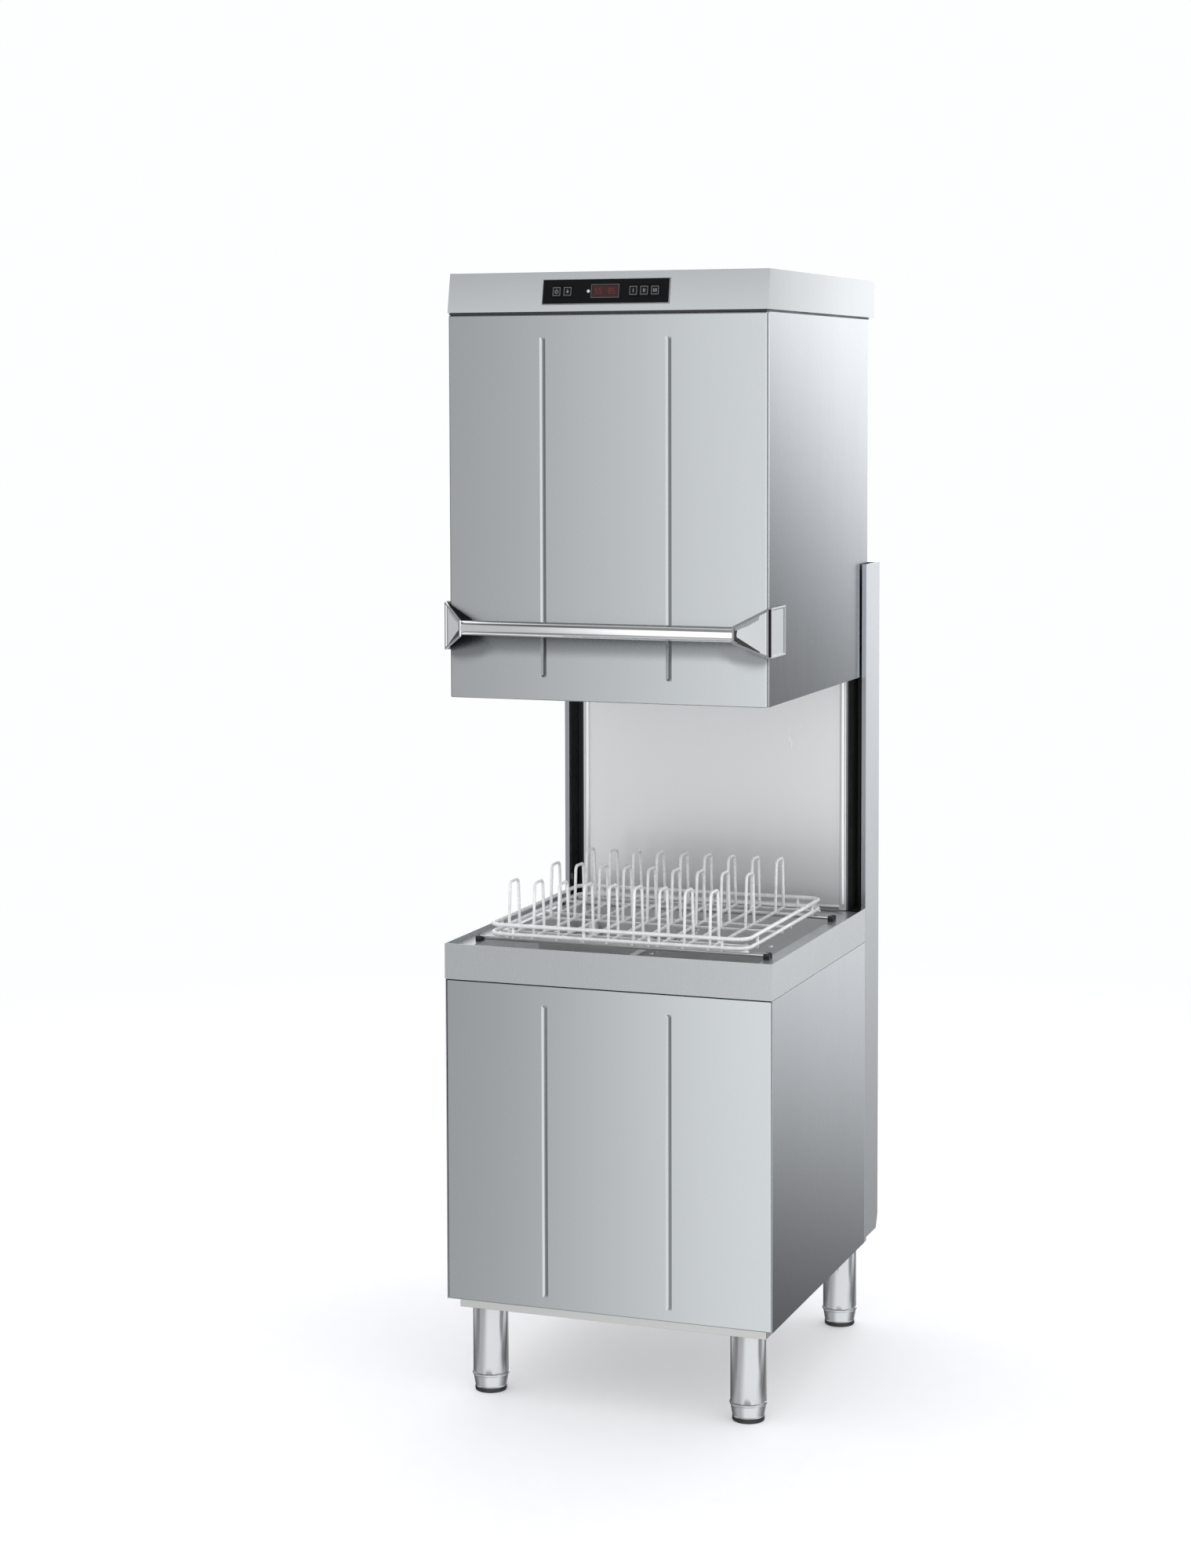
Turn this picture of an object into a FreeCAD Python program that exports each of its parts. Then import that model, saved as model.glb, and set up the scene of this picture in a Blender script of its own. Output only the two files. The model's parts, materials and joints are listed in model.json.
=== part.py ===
"""A pass-through dishwasher with a lifting hood, as a parametric document in millimetres.

Origin: on the floor, under the centre of the machine. +Z is up, the operator stands at -Y and
+X is the operator's right. The model rests with the hood raised and the rack on its track.
Every size is a cell of the sheet, and each object's sizes are expressions on those cells.
"""
import FreeCAD, Part
import math
import os
import re

import Sketcher
from FreeCAD import Placement, Rotation, Vector

SIZES = {
    # the body below the hood
    "half_width": 300, "sheet_steel": 1.5, "panel_front": -316, "panel_bottom": 173, "panel_top": 744,
    "fold": 12,
    # the grooves pressed into the front sheets: each side of the opening and of the floor, and the
    # plain steel left below and above them
    "groove_place": 114, "groove_half": 5, "groove_floor": 2.2, "groove_deep": 2.2,
    "groove_above_base": 23, "groove_below_rim": 37, "groove_in_hood": 42,
    # the frame and the legs under it
    "base_bottom": 155, "base_top": 185, "base_half": 283, "base_front": -297, "base_rear": 352,
    "base_wall": 38, "leg_place": 240, "leg_front": -260, "leg_rear": 318, "leg_radius": 31.5,
    "leg_bottom": 30, "leg_wall": 1.6, "leg_cap": 6, "foot_pad": 8, "foot_radius": 27.5,
    "foot_step": 0.8, "foot_gap": 0.4, "stud_radius": 8, "stud_top": 72, "stud_sunk": 4,
    # the rim that the hood closes on, and the tub that hangs in it
    "rim_bottom": 745, "rim_top": 808, "rim_front": -318.4, "rim_rear": 275.5, "ledge_top": 800,
    "ledge_half": 262, "ledge_front": -278, "ledge_rear": 262, "tub_half": 266, "tub_front": -282,
    "tub_rear": 266, "tub_knee": 640, "tub_low": 560, "sump_half": 90, "sump_bottom": 500,
    "centre_y": -20,
    # the filters over the tub and in the sump
    "filter_low": 700, "filter_deep": 3, "filter_gap": 3, "filter_ring": 14, "grip_near": 120,
    "grip_far": 150, "grip_place": 56, "grip_deep": 4, "grip_tall": 15, "basket_radius": 62,
    "basket_wall": 2, "basket_lift": 3, "basket_tall": 120,
    # the heating element in the tub
    "heater_height": 668, "heater_left": -150, "heater_right": 230, "heater_front": -190,
    "heater_rear": 150, "heater_bend": 40, "heater_radius": 5,
    # the overflow pipe in the tub's corner, with its bail
    "pipe_place": -232, "pipe_back": 236, "pipe_radius": 15, "pipe_top": 760, "pipe_wall": 2,
    "pipe_lift": 4, "pipe_gap": 4, "pipe_collar": 2.5, "collar_tall": 10, "bail_half": 8, "bail_rise": 18,
    "bail_drop": 12, "bail_bend": 7, "bail_wire": 1.6, "ear_half": 13.5, "ear_deep": 3,
    # the two columns and the wall between them
    "column_front": 276, "column_rear": 370, "column_inner": 262, "column_bottom": 180,
    "column_top": 1452, "column_lip": 8.5, "column_step": 4, "column_slant": 12, "slant_rise": 27,
    "back_wall": 278, "back_top": 1450, "rear_wall": 366.5, "low_wall": 340, "slot_back": 344,
    "liner_gap": 2, "vent_half": 70, "vent_tall": 6, "vent_pitch": 22, "low_vent": 470,
    "high_vent": 1240, "screw_place": 245, "screw_radius": 4.5, "screw_head": 1.8,
    # the gas struts that carry the hood
    "strut_place": 278, "strut_back": 334, "strut_radius": 9, "strut_low": 290, "strut_high": 790,
    "strut_rod": 4, "strut_floor": 10, "lug_deep": 14, "piston_low": 760, "piston_tall": 12,
    "hook_low": 1258, "hook_high": 1272,
    # the hood, raised
    "hood_half": 288.5, "hood_front": -312, "hood_rear": 324, "hood_bottom": 1241, "hood_top": 1905,
    "hem": 12, "lid_inset": 3, "lid_rear": 334, "cap_half": 290, "cap_bottom": 1909,
    "cap_top": 1977, "cap_rear": 364, "cap_lean": 13.2,
    # the handle across the hood
    "handle_height": 1367, "handle_reach": -356, "handle_radius": 13, "handle_half": 246,
    "bracket_out": 296, "bracket_half": 42.5, "bracket_rear": -228, "bracket_tip": 14,
    "bracket_root": 10,
    # the control panel and its keys
    "control_half": 114.5, "control_low": 1921.5, "control_high": 1963.5, "control_proud": 1.5,
    "control_depth": 4, "control_edge": 7, "key_width": 17, "key_low": 1933, "key_high": 1953,
    "key_gap": 0.4, "key_proud": 0.6, "display_left": -25, "display_right": 23,
    "display_gap": 0.2, "lamp_place": -31, "lamp_height": 1943, "lamp_radius": 2.6,
    "lamp_deep": 1.2, "board_gap": 8, "board_deep": 14,
    # the rack and its track
    "rack_half": 238, "rack_front": -262, "rack_rear": 193, "rack_high": 836, "rack_low": 820,
    "rack_round": 24, "rail_wire": 2.9, "floor_wire": 2.2, "prong_wire": 2, "prong_top": 911,
    "prong_reach": 52, "prong_lean": 7, "prong_bend": 9, "rack_first": 34, "rack_pitch": 46.5,
    "rack_foot": 6, "rack_floor": 3.4, "track_front": -235, "track_rear": 165,
    "track_height": 806.5, "track_wire": 4, "track_half": 272, "track_gap": 5, "guide_half": 8,
    "guide_rise": 4.3,
    # the wash and rinse arms
    "arm_reach": 235, "arm_bore": 12.4, "arm_hub": 21.4, "hub_proud": 2, "post_radius": 12,
    "low_wash": 750, "low_rinse": 772, "high_wash": 1375, "high_rinse": 1354, "wash_deep": 14,
    "rinse_deep": 9, "wash_half": 21, "rinse_half": 9, "manifold": 1415, "riser_radius": 14,
    "riser_back": 320, "rinse_left": -60, "rinse_radius": 7, "wide_collar": 7, "small_collar": 5,
    "collar_deep": 8,
    # the wash pump and its motor
    "pump_left": 60, "pump_front": -150, "pump_height": 300, "pump_radius": 80, "pump_deep": 60,
    "pump_wall": 6, "pump_eye": 22, "outlet_place": 90, "outlet_wall": 5, "outlet_top": 394,
    "motor_radius": 62, "motor_right": 272, "wheel_radius": 60, "wheel_left": 78,
    "wheel_deep": 6, "shaft_radius": 8, "shaft_long": 90, "shaft_gap": 0.5, "vane_half": 3,
    "vane_deep": 16, "vane_reach": 52, "suction_radius": 20,
    # the boiler and the boxes in the base
    "boiler_place": -165, "boiler_back": 60, "boiler_radius": 85, "boiler_low": 200,
    "boiler_high": 440, "boiler_wall": 2, "doser_front": -290, "doser_deep": 28,
    "doser_width": 60, "doser_low": 420, "doser_high": 500, "doser_head": 24, "doser_motor": 40,
    # the fittings through the lower rear panel
    "inlet_radius": 13.2, "inlet_bore": 8, "inlet_neck": 30, "inlet_x": -180, "inlet_z": 260,
    "drain_radius": 20, "drain_bore": 16, "drain_neck": 60, "drain_x": 180, "drain_z": 235,
    "gland_x": 60, "gland_z": 400, "gland_radius": 8, "gland_nut": 13, "gland_bore": 5,
    "gland_deep": 12, "hole_gap": 0.4, "neck_step": 1.2, "shoulder_proud": 5, "shoulder_deep": 5,
    "spigot_end": 369, "valve_half": 20, "valve_tall": 25, "valve_front": 280, "valve_rear": 324,
}
KEYS = {"power": -89, "drain": -69, "short": 50, "medium": 69.5, "long": 89}
SIDES = {"left": -1, "right": 1}
SCREW_HEIGHTS = (770, 1100, 1430)
LOW_VENTS = 8
HIGH_VENTS = 6
RACK_COLUMNS = 9
POWER_BOX = ((160, 30, 210), (285, 250, 450))
DOSER_PLACES = (-260, -180)
PLANES = {"x": "YZ_Plane", "y": "XZ_Plane", "z": "XY_Plane"}
TURNS = {"x": Rotation(Vector(0, 1, 0), 90), "y": Rotation(Vector(1, 0, 0), -90), "z": Rotation()}

doc = FreeCAD.newDocument("hood_dishwasher")
sheet = doc.addObject("Spreadsheet::Sheet", "dims")
for row, (alias, number) in enumerate(SIZES.items(), 1):
    sheet.set("A%d" % row, alias)
    sheet.set("B%d" % row, str(number))
    sheet.setAlias("B%d" % row, alias)
doc.recompute()
parts = []


# ---------------------------------------------------------------- sizes

def bound(text):
    """The expression as another object of the document writes it."""
    return re.sub(r"[a-z][a-z_]+", lambda word: "dims." + word.group(), str(text))


def value(text):
    """The expression's number now."""
    return float(sheet.evalExpression(str(text)))


def mirror(sign, near, far):
    """The low and high end of a span given on the right side, for the side asked for."""
    return (near, far) if sign > 0 else ("-(%s)" % far, "-(%s)" % near)


def part(name, solid):
    """Give a finished sub-part its name, and keep it for writing."""
    solid.Label = name
    parts.append(solid)
    return solid


# ---------------------------------------------------------------- primitives

def block(low, high):
    """A box between two corners."""
    box = doc.addObject("Part::Box", "Block")
    for name, axis, start, end in zip(("Length", "Width", "Height"), "xyz", low, high):
        box.setExpression(name, bound("(%s) - (%s)" % (end, start)))
        box.setExpression("Placement.Base." + axis, bound(start))
    return box


def rod(axis, foot, radius, length):
    """A cylinder that starts at foot and runs along the axis."""
    cylinder = doc.addObject("Part::Cylinder", "Rod")
    cylinder.Placement = Placement(Vector(), TURNS[axis])
    cylinder.setExpression("Radius", bound(radius))
    cylinder.setExpression("Height", bound(length))
    for name, place in zip("xyz", foot):
        cylinder.setExpression("Placement.Base." + name, bound(place))
    return cylinder


def taper(foot, low_radius, high_radius, length):
    """A cone that stands upright."""
    cone = doc.addObject("Part::Cone", "Taper")
    for name, size in (("Radius1", low_radius), ("Radius2", high_radius), ("Height", length)):
        cone.setExpression(name, bound(size))
    for name, place in zip("xyz", foot):
        cone.setExpression("Placement.Base." + name, bound(place))
    return cone


def fuse(*solids):
    joined = doc.addObject("Part::MultiFuse", "Joined")
    joined.Shapes = list(solids)
    joined.Refine = True
    return joined


def cut(base, *tools):
    shape = doc.addObject("Part::Cut", "Cut")
    shape.Base = base
    shape.Tool = fuse(*tools) if len(tools) > 1 else tools[0]
    return shape


def group(*solids):
    """Separate solids of the same kind, kept in one node."""
    compound = doc.addObject("Part::Compound", "Group")
    compound.Links = list(solids)
    return compound


# ---------------------------------------------------------------- sketched features

def new_body(name="Piece"):
    return doc.addObject("PartDesign::Body", name)


def pin(sketch, geometry, point, place):
    """Hold a point of the sketch at a place on the sheet."""
    for kind, text in zip(("DistanceX", "DistanceY"), place):
        number = sketch.addConstraint(Sketcher.Constraint(kind, -1, 1, geometry, point, value(text)))
        sketch.setExpression("Constraints[%d]" % number, bound(text))


def add_outline(sketch, corners):
    """A closed outline of straight lines through the corners."""
    places = [Vector(value(across), value(up), 0) for across, up in corners]
    first = sketch.GeometryCount
    for start, end in zip(places, places[1:] + places[:1]):
        sketch.addGeometry(Part.LineSegment(start, end), False)
    for number, corner in enumerate(corners):
        following = first + (number + 1) % len(corners)
        sketch.addConstraint(Sketcher.Constraint("Coincident", first + number, 2, following, 1))
        pin(sketch, first + number, 1, corner)


def add_circle(sketch, centre, radius):
    place = Vector(value(centre[0]), value(centre[1]), 0)
    number = sketch.addGeometry(Part.Circle(place, Vector(0, 0, 1), value(radius)), False)
    pin(sketch, number, 3, centre)
    rule = sketch.addConstraint(Sketcher.Constraint("Radius", number, value(radius)))
    sketch.setExpression("Constraints[%d]" % rule, bound(radius))


def new_sketch(body, axis, height):
    """A sketch square to the axis, at a height along it."""
    plane = next(item for item in body.Origin.OriginFeatures if item.Role == PLANES[axis])
    sketch = body.newObject("Sketcher::SketchObject", "Outline")
    sketch.AttachmentSupport = (plane, [""])
    sketch.MapMode = "FlatFace"
    offset = "-(%s)" % height if axis == "y" else height
    sketch.setExpression("AttachmentOffset.Base.z", bound(offset))
    return sketch


def pad(body, axis, low, high, *outlines, circles=()):
    """Add the outlines' area from low to high along the axis. The XZ plane faces -Y."""
    sketch = new_sketch(body, axis, high if axis == "y" else low)
    for corners in outlines:
        add_outline(sketch, corners)
    for centre, radius in circles:
        add_circle(sketch, centre, radius)
    feature = body.newObject("PartDesign::Pad", "Pad")
    feature.Profile = sketch
    feature.setExpression("Length", bound("(%s) - (%s)" % (high, low)))
    return feature


def pocket(body, axis, low, high, *outlines, circles=()):
    """Take the outlines' area away from low to high along the axis."""
    sketch = new_sketch(body, axis, low if axis == "y" else high)
    for corners in outlines:
        add_outline(sketch, corners)
    for centre, radius in circles:
        add_circle(sketch, centre, radius)
    feature = body.newObject("PartDesign::Pocket", "Pocket")
    feature.Profile = sketch
    feature.setExpression("Length", bound("(%s) - (%s)" % (high, low)))
    return feature


def rectangle(left, right, low, high):
    return [(left, low), (right, low), (right, high), (left, high)]


def tray(name, left, right, low, high, face, depth):
    """A folded sheet: a flat face towards -Y, with an edge all round that runs back from it."""
    body = new_body()
    pad(body, "y", face, "%s + %s" % (face, depth), rectangle(left, right, low, high))
    inside = ["%s + sheet_steel" % left, "%s - sheet_steel" % right,
              "%s + sheet_steel" % low, "%s - sheet_steel" % high]
    pocket(body, "y", "%s + sheet_steel" % face, "%s + %s" % (face, depth), rectangle(*inside))
    return part(name, body)


def add_groove(body, place, face, low, high):
    """A straight groove pressed into a sheet that faces -Y, with the bead it leaves behind."""
    bead = [("%s - groove_half - sheet_steel" % place, face + " + sheet_steel/2"),
            ("%s + groove_half + sheet_steel" % place, face + " + sheet_steel/2"),
            ("%s + groove_floor + sheet_steel" % place, face + " + groove_deep + sheet_steel"),
            ("%s - groove_floor - sheet_steel" % place, face + " + groove_deep + sheet_steel")]
    pad(body, "z", low + " - sheet_steel", high + " + sheet_steel", bead)
    groove = [("%s - groove_half" % place, face + " - 1"), ("%s + groove_half" % place, face + " - 1"),
              ("%s + groove_half" % place, face), ("%s + groove_floor" % place, face + " + groove_deep"),
              ("%s - groove_floor" % place, face + " + groove_deep"), ("%s - groove_half" % place, face)]
    pocket(body, "z", low, high, groove)


def add_vents(body, count, first, face, depth):
    """A column of level slots through a sheet that faces -Y."""
    for number in range(count):
        low = "%s + %d * vent_pitch" % (first, number)
        pocket(body, "y", face + " - 1", "%s + %s" % (face, depth),
               rectangle("-vent_half", "vent_half", low, low + " + vent_tall"))


# ---------------------------------------------------------------- bent wires and pipes

def bent_path(points, radius, closed=False):
    """Straight runs through the points, joined by tangent arcs."""
    count = len(points)
    corners = range(count) if closed else range(1, count - 1)
    arcs = {}
    for number in corners:
        here = points[number]
        back = (points[number - 1] - here).normalize()
        ahead = (points[(number + 1) % count] - here).normalize()
        half = back.getAngle(ahead) / 2
        middle = here + (back + ahead).normalize() * (radius / math.sin(half) - radius)
        reach = radius / math.tan(half)
        arcs[number] = (here + back * reach, middle, here + ahead * reach)
    edges = []
    for number in range(count if closed else count - 1):
        following = (number + 1) % count
        start = arcs[number][2] if number in arcs else points[number]
        end = arcs[following][0] if following in arcs else points[following]
        edges.append(Part.LineSegment(start, end).toShape())
        if following in arcs:
            edges.append(Part.Arc(*arcs[following]).toShape())
    return Part.Wire(edges)


def swept(points, bend, radius, closed=False):
    """A round bar along a bent path."""
    path = bent_path(points, bend, closed)
    start = path.Edges[0]
    ring = Part.makeCircle(radius, start.valueAt(start.FirstParameter), start.tangentAt(start.FirstParameter))
    return path.makePipeShell([Part.Wire(ring)], True, True)


def feature(name, shape):
    """A sub-part whose shape comes from Part's own functions."""
    made = doc.addObject("Part::Feature", name)
    made.Shape = shape
    return part(name, made)


def place(x, y, z):
    return Vector(value(x), value(y), value(z))


# ---------------------------------------------------------------- base, legs and feet

def make_base():
    body = new_body()
    outer = rectangle("-base_half", "base_half", "base_front", "base_rear")
    inner = rectangle("-base_half + base_wall", "base_half - base_wall",
                      "base_front + base_wall", "base_rear - base_wall")
    pad(body, "z", "base_bottom", "base_top", outer)
    pocket(body, "z", "base_bottom", "base_top - sheet_steel", inner)
    for sign in SIDES.values():
        near, far = mirror(sign, "column_inner - 0.5", "base_half + 1")
        pocket(body, "z", "column_bottom - 0.5", "base_top + 1",
               rectangle(near, far, "column_front - 0.5", "base_rear + 1"))
    part("base_frame", body)

    legs = []
    for along in ("leg_front", "leg_rear"):
        for side, sign in SIDES.items():
            across = "%d * leg_place" % sign
            tall = "base_bottom - leg_bottom"
            legs.append(cut(rod("z", (across, along, "leg_bottom"), "leg_radius", tall),
                            rod("z", (across, along, "leg_bottom"), "leg_radius - leg_wall",
                                tall + " - leg_cap")))
            sole = rod("z", (across, along, 0), "foot_radius - foot_step", "foot_pad")
            cup = taper((across, along, "foot_pad"), "foot_radius", "leg_radius - foot_gap/2",
                        "leg_bottom - foot_pad - foot_gap")
            stud = rod("z", (across, along, "leg_bottom - stud_sunk"), "stud_radius",
                       "stud_top - leg_bottom + stud_sunk")
            part("foot_%s_%s" % (along.split("_")[1], side), fuse(sole, cup, stud))
    part("legs", group(*legs))


# ---------------------------------------------------------------- outer panels below the hood

def make_panels():
    front = tray("front_panel", "-half_width + 1.6", "half_width - 1.6", "panel_bottom", "panel_top",
                 "panel_front", "fold")
    for sign in SIDES.values():
        add_groove(front, "%d * groove_place" % sign, "panel_front",
                   "panel_bottom + groove_above_base", "panel_top - groove_below_rim")
    for side, sign in SIDES.items():
        body = new_body()
        near, far = mirror(sign, "half_width - sheet_steel", "half_width")
        pad(body, "x", near, far, rectangle("panel_front", "column_front - 1", "panel_bottom", "panel_top"))
        near, far = mirror(sign, "half_width - fold", "half_width - sheet_steel")
        pad(body, "x", near, far,
            rectangle("panel_front + fold + 1", "column_front - 1", "panel_bottom",
                      "panel_bottom + sheet_steel"))
        part(side + "_side_panel", body)

    low = tray("lower_rear_panel", "-column_inner + 1", "column_inner - 1", "base_top + 1", "panel_top",
               "low_wall", "sheet_steel * 3")
    add_vents(low, LOW_VENTS, "low_vent", "low_wall", "sheet_steel * 3")
    for name in ("inlet", "drain", "gland"):
        hole = ((name + "_x", name + "_z"), name + "_radius + hole_gap")
        pocket(low, "y", "low_wall - 1", "low_wall + sheet_steel * 3", circles=[hole])


# ---------------------------------------------------------------- rim, tub and what lies in it

def make_tub():
    rim = new_body()
    pad(rim, "z", "rim_bottom", "rim_top",
        rectangle("-half_width", "half_width", "rim_front", "rim_rear"))
    pocket(rim, "z", "rim_bottom", "rim_top",
           rectangle("-half_width + sheet_steel", "half_width - sheet_steel",
                     "rim_front + sheet_steel", "rim_rear + 1"))
    pad(rim, "z", "ledge_top - sheet_steel", "ledge_top",
        rectangle("-half_width + 1", "half_width - 1", "rim_front + 1", "rim_rear"),
        rectangle("-ledge_half", "ledge_half", "ledge_front", "ledge_rear"))
    part("tub_rim", rim)

    tub = new_body()
    top = "ledge_top - sheet_steel - 0.2"
    pad(tub, "z", "tub_knee", top, rectangle("-tub_half", "tub_half", "tub_front", "tub_rear"))
    slope = tub.newObject("PartDesign::AdditiveLoft", "Slope")
    slope.Profile = rectangle_sketch(tub, "tub_knee", 0)
    slope.Sections = [rectangle_sketch(tub, "tub_low", 1)]
    pad(tub, "z", "sump_bottom", "tub_low",
        rectangle("-sump_half", "sump_half", "centre_y - sump_half", "centre_y + sump_half"))
    pocket(tub, "z", "tub_knee", top,
           rectangle("-tub_half + sheet_steel", "tub_half - sheet_steel", "tub_front + sheet_steel",
                     "tub_rear - sheet_steel"))
    hollow = tub.newObject("PartDesign::SubtractiveLoft", "Hollow")
    hollow.Profile = rectangle_sketch(tub, "tub_knee", 0, "sheet_steel")
    hollow.Sections = [rectangle_sketch(tub, "tub_low", 1, "sheet_steel")]
    pocket(tub, "z", "sump_bottom + sheet_steel", "tub_low + 0.5",
           rectangle("-sump_half + sheet_steel", "sump_half - sheet_steel",
                     "centre_y - sump_half + sheet_steel", "centre_y + sump_half - sheet_steel"))
    part("wash_tub", tub)

    filters = []
    for sign in SIDES.values():
        body = new_body()
        below, above = "filter_low - 1", "filter_low + filter_deep + 1"
        near, far = mirror(sign, "1", "tub_half - filter_gap")
        pad(body, "z", "filter_low", "filter_low + filter_deep",
            rectangle(near, far, "tub_front + filter_gap", "tub_rear - filter_gap"))
        pocket(body, "z", below, above, circles=[(("0", "centre_y"), "post_radius + filter_ring")])
        if sign < 0:
            pocket(body, "z", below, above,
                   circles=[(("pipe_place", "pipe_back"), "pipe_radius + pipe_gap")])
        near, far = mirror(sign, "grip_near", "grip_far")
        pad(body, "z", "filter_low + filter_deep", "filter_low + filter_deep + grip_tall",
            rectangle(near, far, "centre_y - grip_place - grip_deep", "centre_y - grip_place"),
            rectangle(near, far, "centre_y + grip_place", "centre_y + grip_place + grip_deep"))
        filters.append(body)
    part("tub_filters", group(*filters))

    basket_foot = "sump_bottom + basket_lift"
    part("sump_filter", cut(rod("z", (0, "centre_y", basket_foot), "basket_radius", "basket_tall"),
                            rod("z", (0, "centre_y", basket_foot + " - 1"),
                                "basket_radius - basket_wall", "basket_tall + 2")))

    foot = ("pipe_place", "pipe_back", "tub_knee + pipe_lift")
    pipe = cut(fuse(rod("z", foot, "pipe_radius", "pipe_top - tub_knee - pipe_lift"),
                    rod("z", foot, "pipe_radius + pipe_collar", "collar_tall")),
               rod("z", ("pipe_place", "pipe_back", "tub_knee"), "pipe_radius - pipe_wall", "pipe_top"))
    left, right = "pipe_place - bail_half", "pipe_place + bail_half"
    low, high = "pipe_top - bail_drop", "pipe_top + bail_rise"
    bail = doc.addObject("Part::Feature", "Bail")
    bail.Shape = swept([place(left, "pipe_back", low), place(left, "pipe_back", high),
                        place(right, "pipe_back", high), place(right, "pipe_back", low)],
                       value("bail_bend"), value("bail_wire"))
    ears = block(("pipe_place - ear_half", "pipe_back - ear_deep", low + " - 2"),
                 ("pipe_place + ear_half", "pipe_back + ear_deep", low + " + 2"))
    part("overflow_pipe", fuse(pipe, ears, bail))

    heater = [place("heater_right", "heater_rear", "heater_height"),
              place("heater_left", "heater_rear", "heater_height"),
              place("heater_left", "heater_front", "heater_height"),
              place("heater_right", "heater_front", "heater_height")]
    feature("tank_heater", swept(heater, value("heater_bend"), value("heater_radius")))


def rectangle_sketch(body, height, step, inset="0"):
    """One section of the sloping floor: step 0 is the tub's own size, step 1 the sump's."""
    spans = (("-tub_half", "tub_half", "tub_front", "tub_rear"),
             ("-sump_half", "sump_half", "centre_y - sump_half", "centre_y + sump_half"))
    left, right, low, high = spans[step]
    sketch = new_sketch(body, "z", height)
    add_outline(sketch, rectangle("%s + %s" % (left, inset), "%s - %s" % (right, inset),
                                  "%s + %s" % (low, inset), "%s - %s" % (high, inset)))
    return sketch


# ---------------------------------------------------------------- columns and rear walls

def make_columns():
    for side, sign in SIDES.items():
        body = new_body()
        profile = [("half_width", "column_front"), ("half_width", "column_rear"),
                   ("column_inner", "column_rear"), ("column_inner", "column_front + column_step"),
                   ("column_inner + sheet_steel", "column_front + column_step"),
                   ("column_inner + sheet_steel", "column_rear - sheet_steel"),
                   ("half_width - sheet_steel", "column_rear - sheet_steel"),
                   ("half_width - sheet_steel", "column_front + sheet_steel"),
                   ("half_width - column_lip", "column_front + sheet_steel"),
                   ("half_width - column_lip", "column_front")]
        pad(body, "z", "column_bottom", "column_top",
            [("%d * (%s)" % (sign, across), along) for across, along in profile])
        near, far = mirror(sign, "column_inner", "half_width")
        pad(body, "z", "column_top - sheet_steel", "column_top",
            rectangle(near, far, "slot_back + 3", "column_rear"))
        near, far = mirror(sign, "column_inner - 1", "half_width + 1")
        corner = [("column_rear - column_slant", "column_bottom - 1"),
                  ("column_rear + 1", "column_bottom - 1"),
                  ("column_rear + 1", "column_bottom + slant_rise")]
        pocket(body, "x", near, far, corner)
        part(side + "_column", body)


def make_rear_walls():
    back = tray("back_panel", "-column_inner + 0.5", "column_inner - 0.5", "ledge_top + 1", "back_top",
                "back_wall", "fold * 2")
    pocket(back, "y", "back_wall - 1", "back_wall + fold",
           circles=[((0, "manifold"), "riser_radius + 0.5"),
                    (("rinse_left", "manifold"), "rinse_radius + 1")])

    cover = new_body()
    pad(cover, "y", "rear_wall", "rear_wall + sheet_steel",
        rectangle("-column_inner + 1", "column_inner - 1", "panel_top + 2", "back_top"))
    add_vents(cover, HIGH_VENTS, "high_vent", "rear_wall", "sheet_steel * 2")
    part("rear_cover", cover)

    screws = []
    for sign in SIDES.values():
        for up in SCREW_HEIGHTS:
            screws.append(rod("y", ("%d * screw_place" % sign, "rear_wall + sheet_steel", up),
                              "screw_radius", "screw_head"))
    part("cover_screws", group(*screws))


def make_struts():
    """The gas struts in the columns' slots, and the dark liners behind them."""
    liners, struts, rods = [], [], []
    for sign in SIDES.values():
        near, far = mirror(sign, "column_inner + liner_gap", "half_width - liner_gap")
        inner, wall = mirror(sign, "column_inner + liner_gap", "column_inner + liner_gap * 2")
        liner = new_body()
        pad(liner, "z", "ledge_top + 1", "column_top - 3",
            rectangle(near, far, "slot_back", "slot_back + 2"))
        pad(liner, "z", "ledge_top + 1", "column_top - 3",
            rectangle(inner, wall, "column_front + 5", "slot_back + 1"))
        liners.append(liner)

        across = "%d * strut_place" % sign
        near, far = mirror(sign, "column_inner + 1.6", "half_width - 1.6")
        tube = cut(rod("z", (across, "strut_back", "strut_low"), "strut_radius", "strut_high - strut_low"),
                   rod("z", (across, "strut_back", "strut_low + strut_floor"), "strut_rod + 3",
                       "strut_high"))
        lug = block((near, "strut_back - strut_radius", "strut_low - lug_deep"),
                    (far, "strut_back + strut_radius", "strut_low + 1"))
        struts.append(fuse(tube, lug))

        near, far = mirror(sign, "strut_place - 8", "hood_half - 1.6")
        piston = rod("z", (across, "strut_back", "piston_low"), "strut_rod + 2.4", "piston_tall")
        shaft = rod("z", (across, "strut_back", "piston_low"), "strut_rod", "hook_low - piston_low + 3")
        hook = block((near, "hood_rear - hem * 2", "hook_low"), (far, "strut_back + 8", "hook_high"))
        rods.append(fuse(piston, shaft, hook))
    part("slot_liners", group(*liners))
    part("strut_cylinders", group(*struts))
    part("strut_rods", group(*rods))


# ---------------------------------------------------------------- hood and handle

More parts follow.
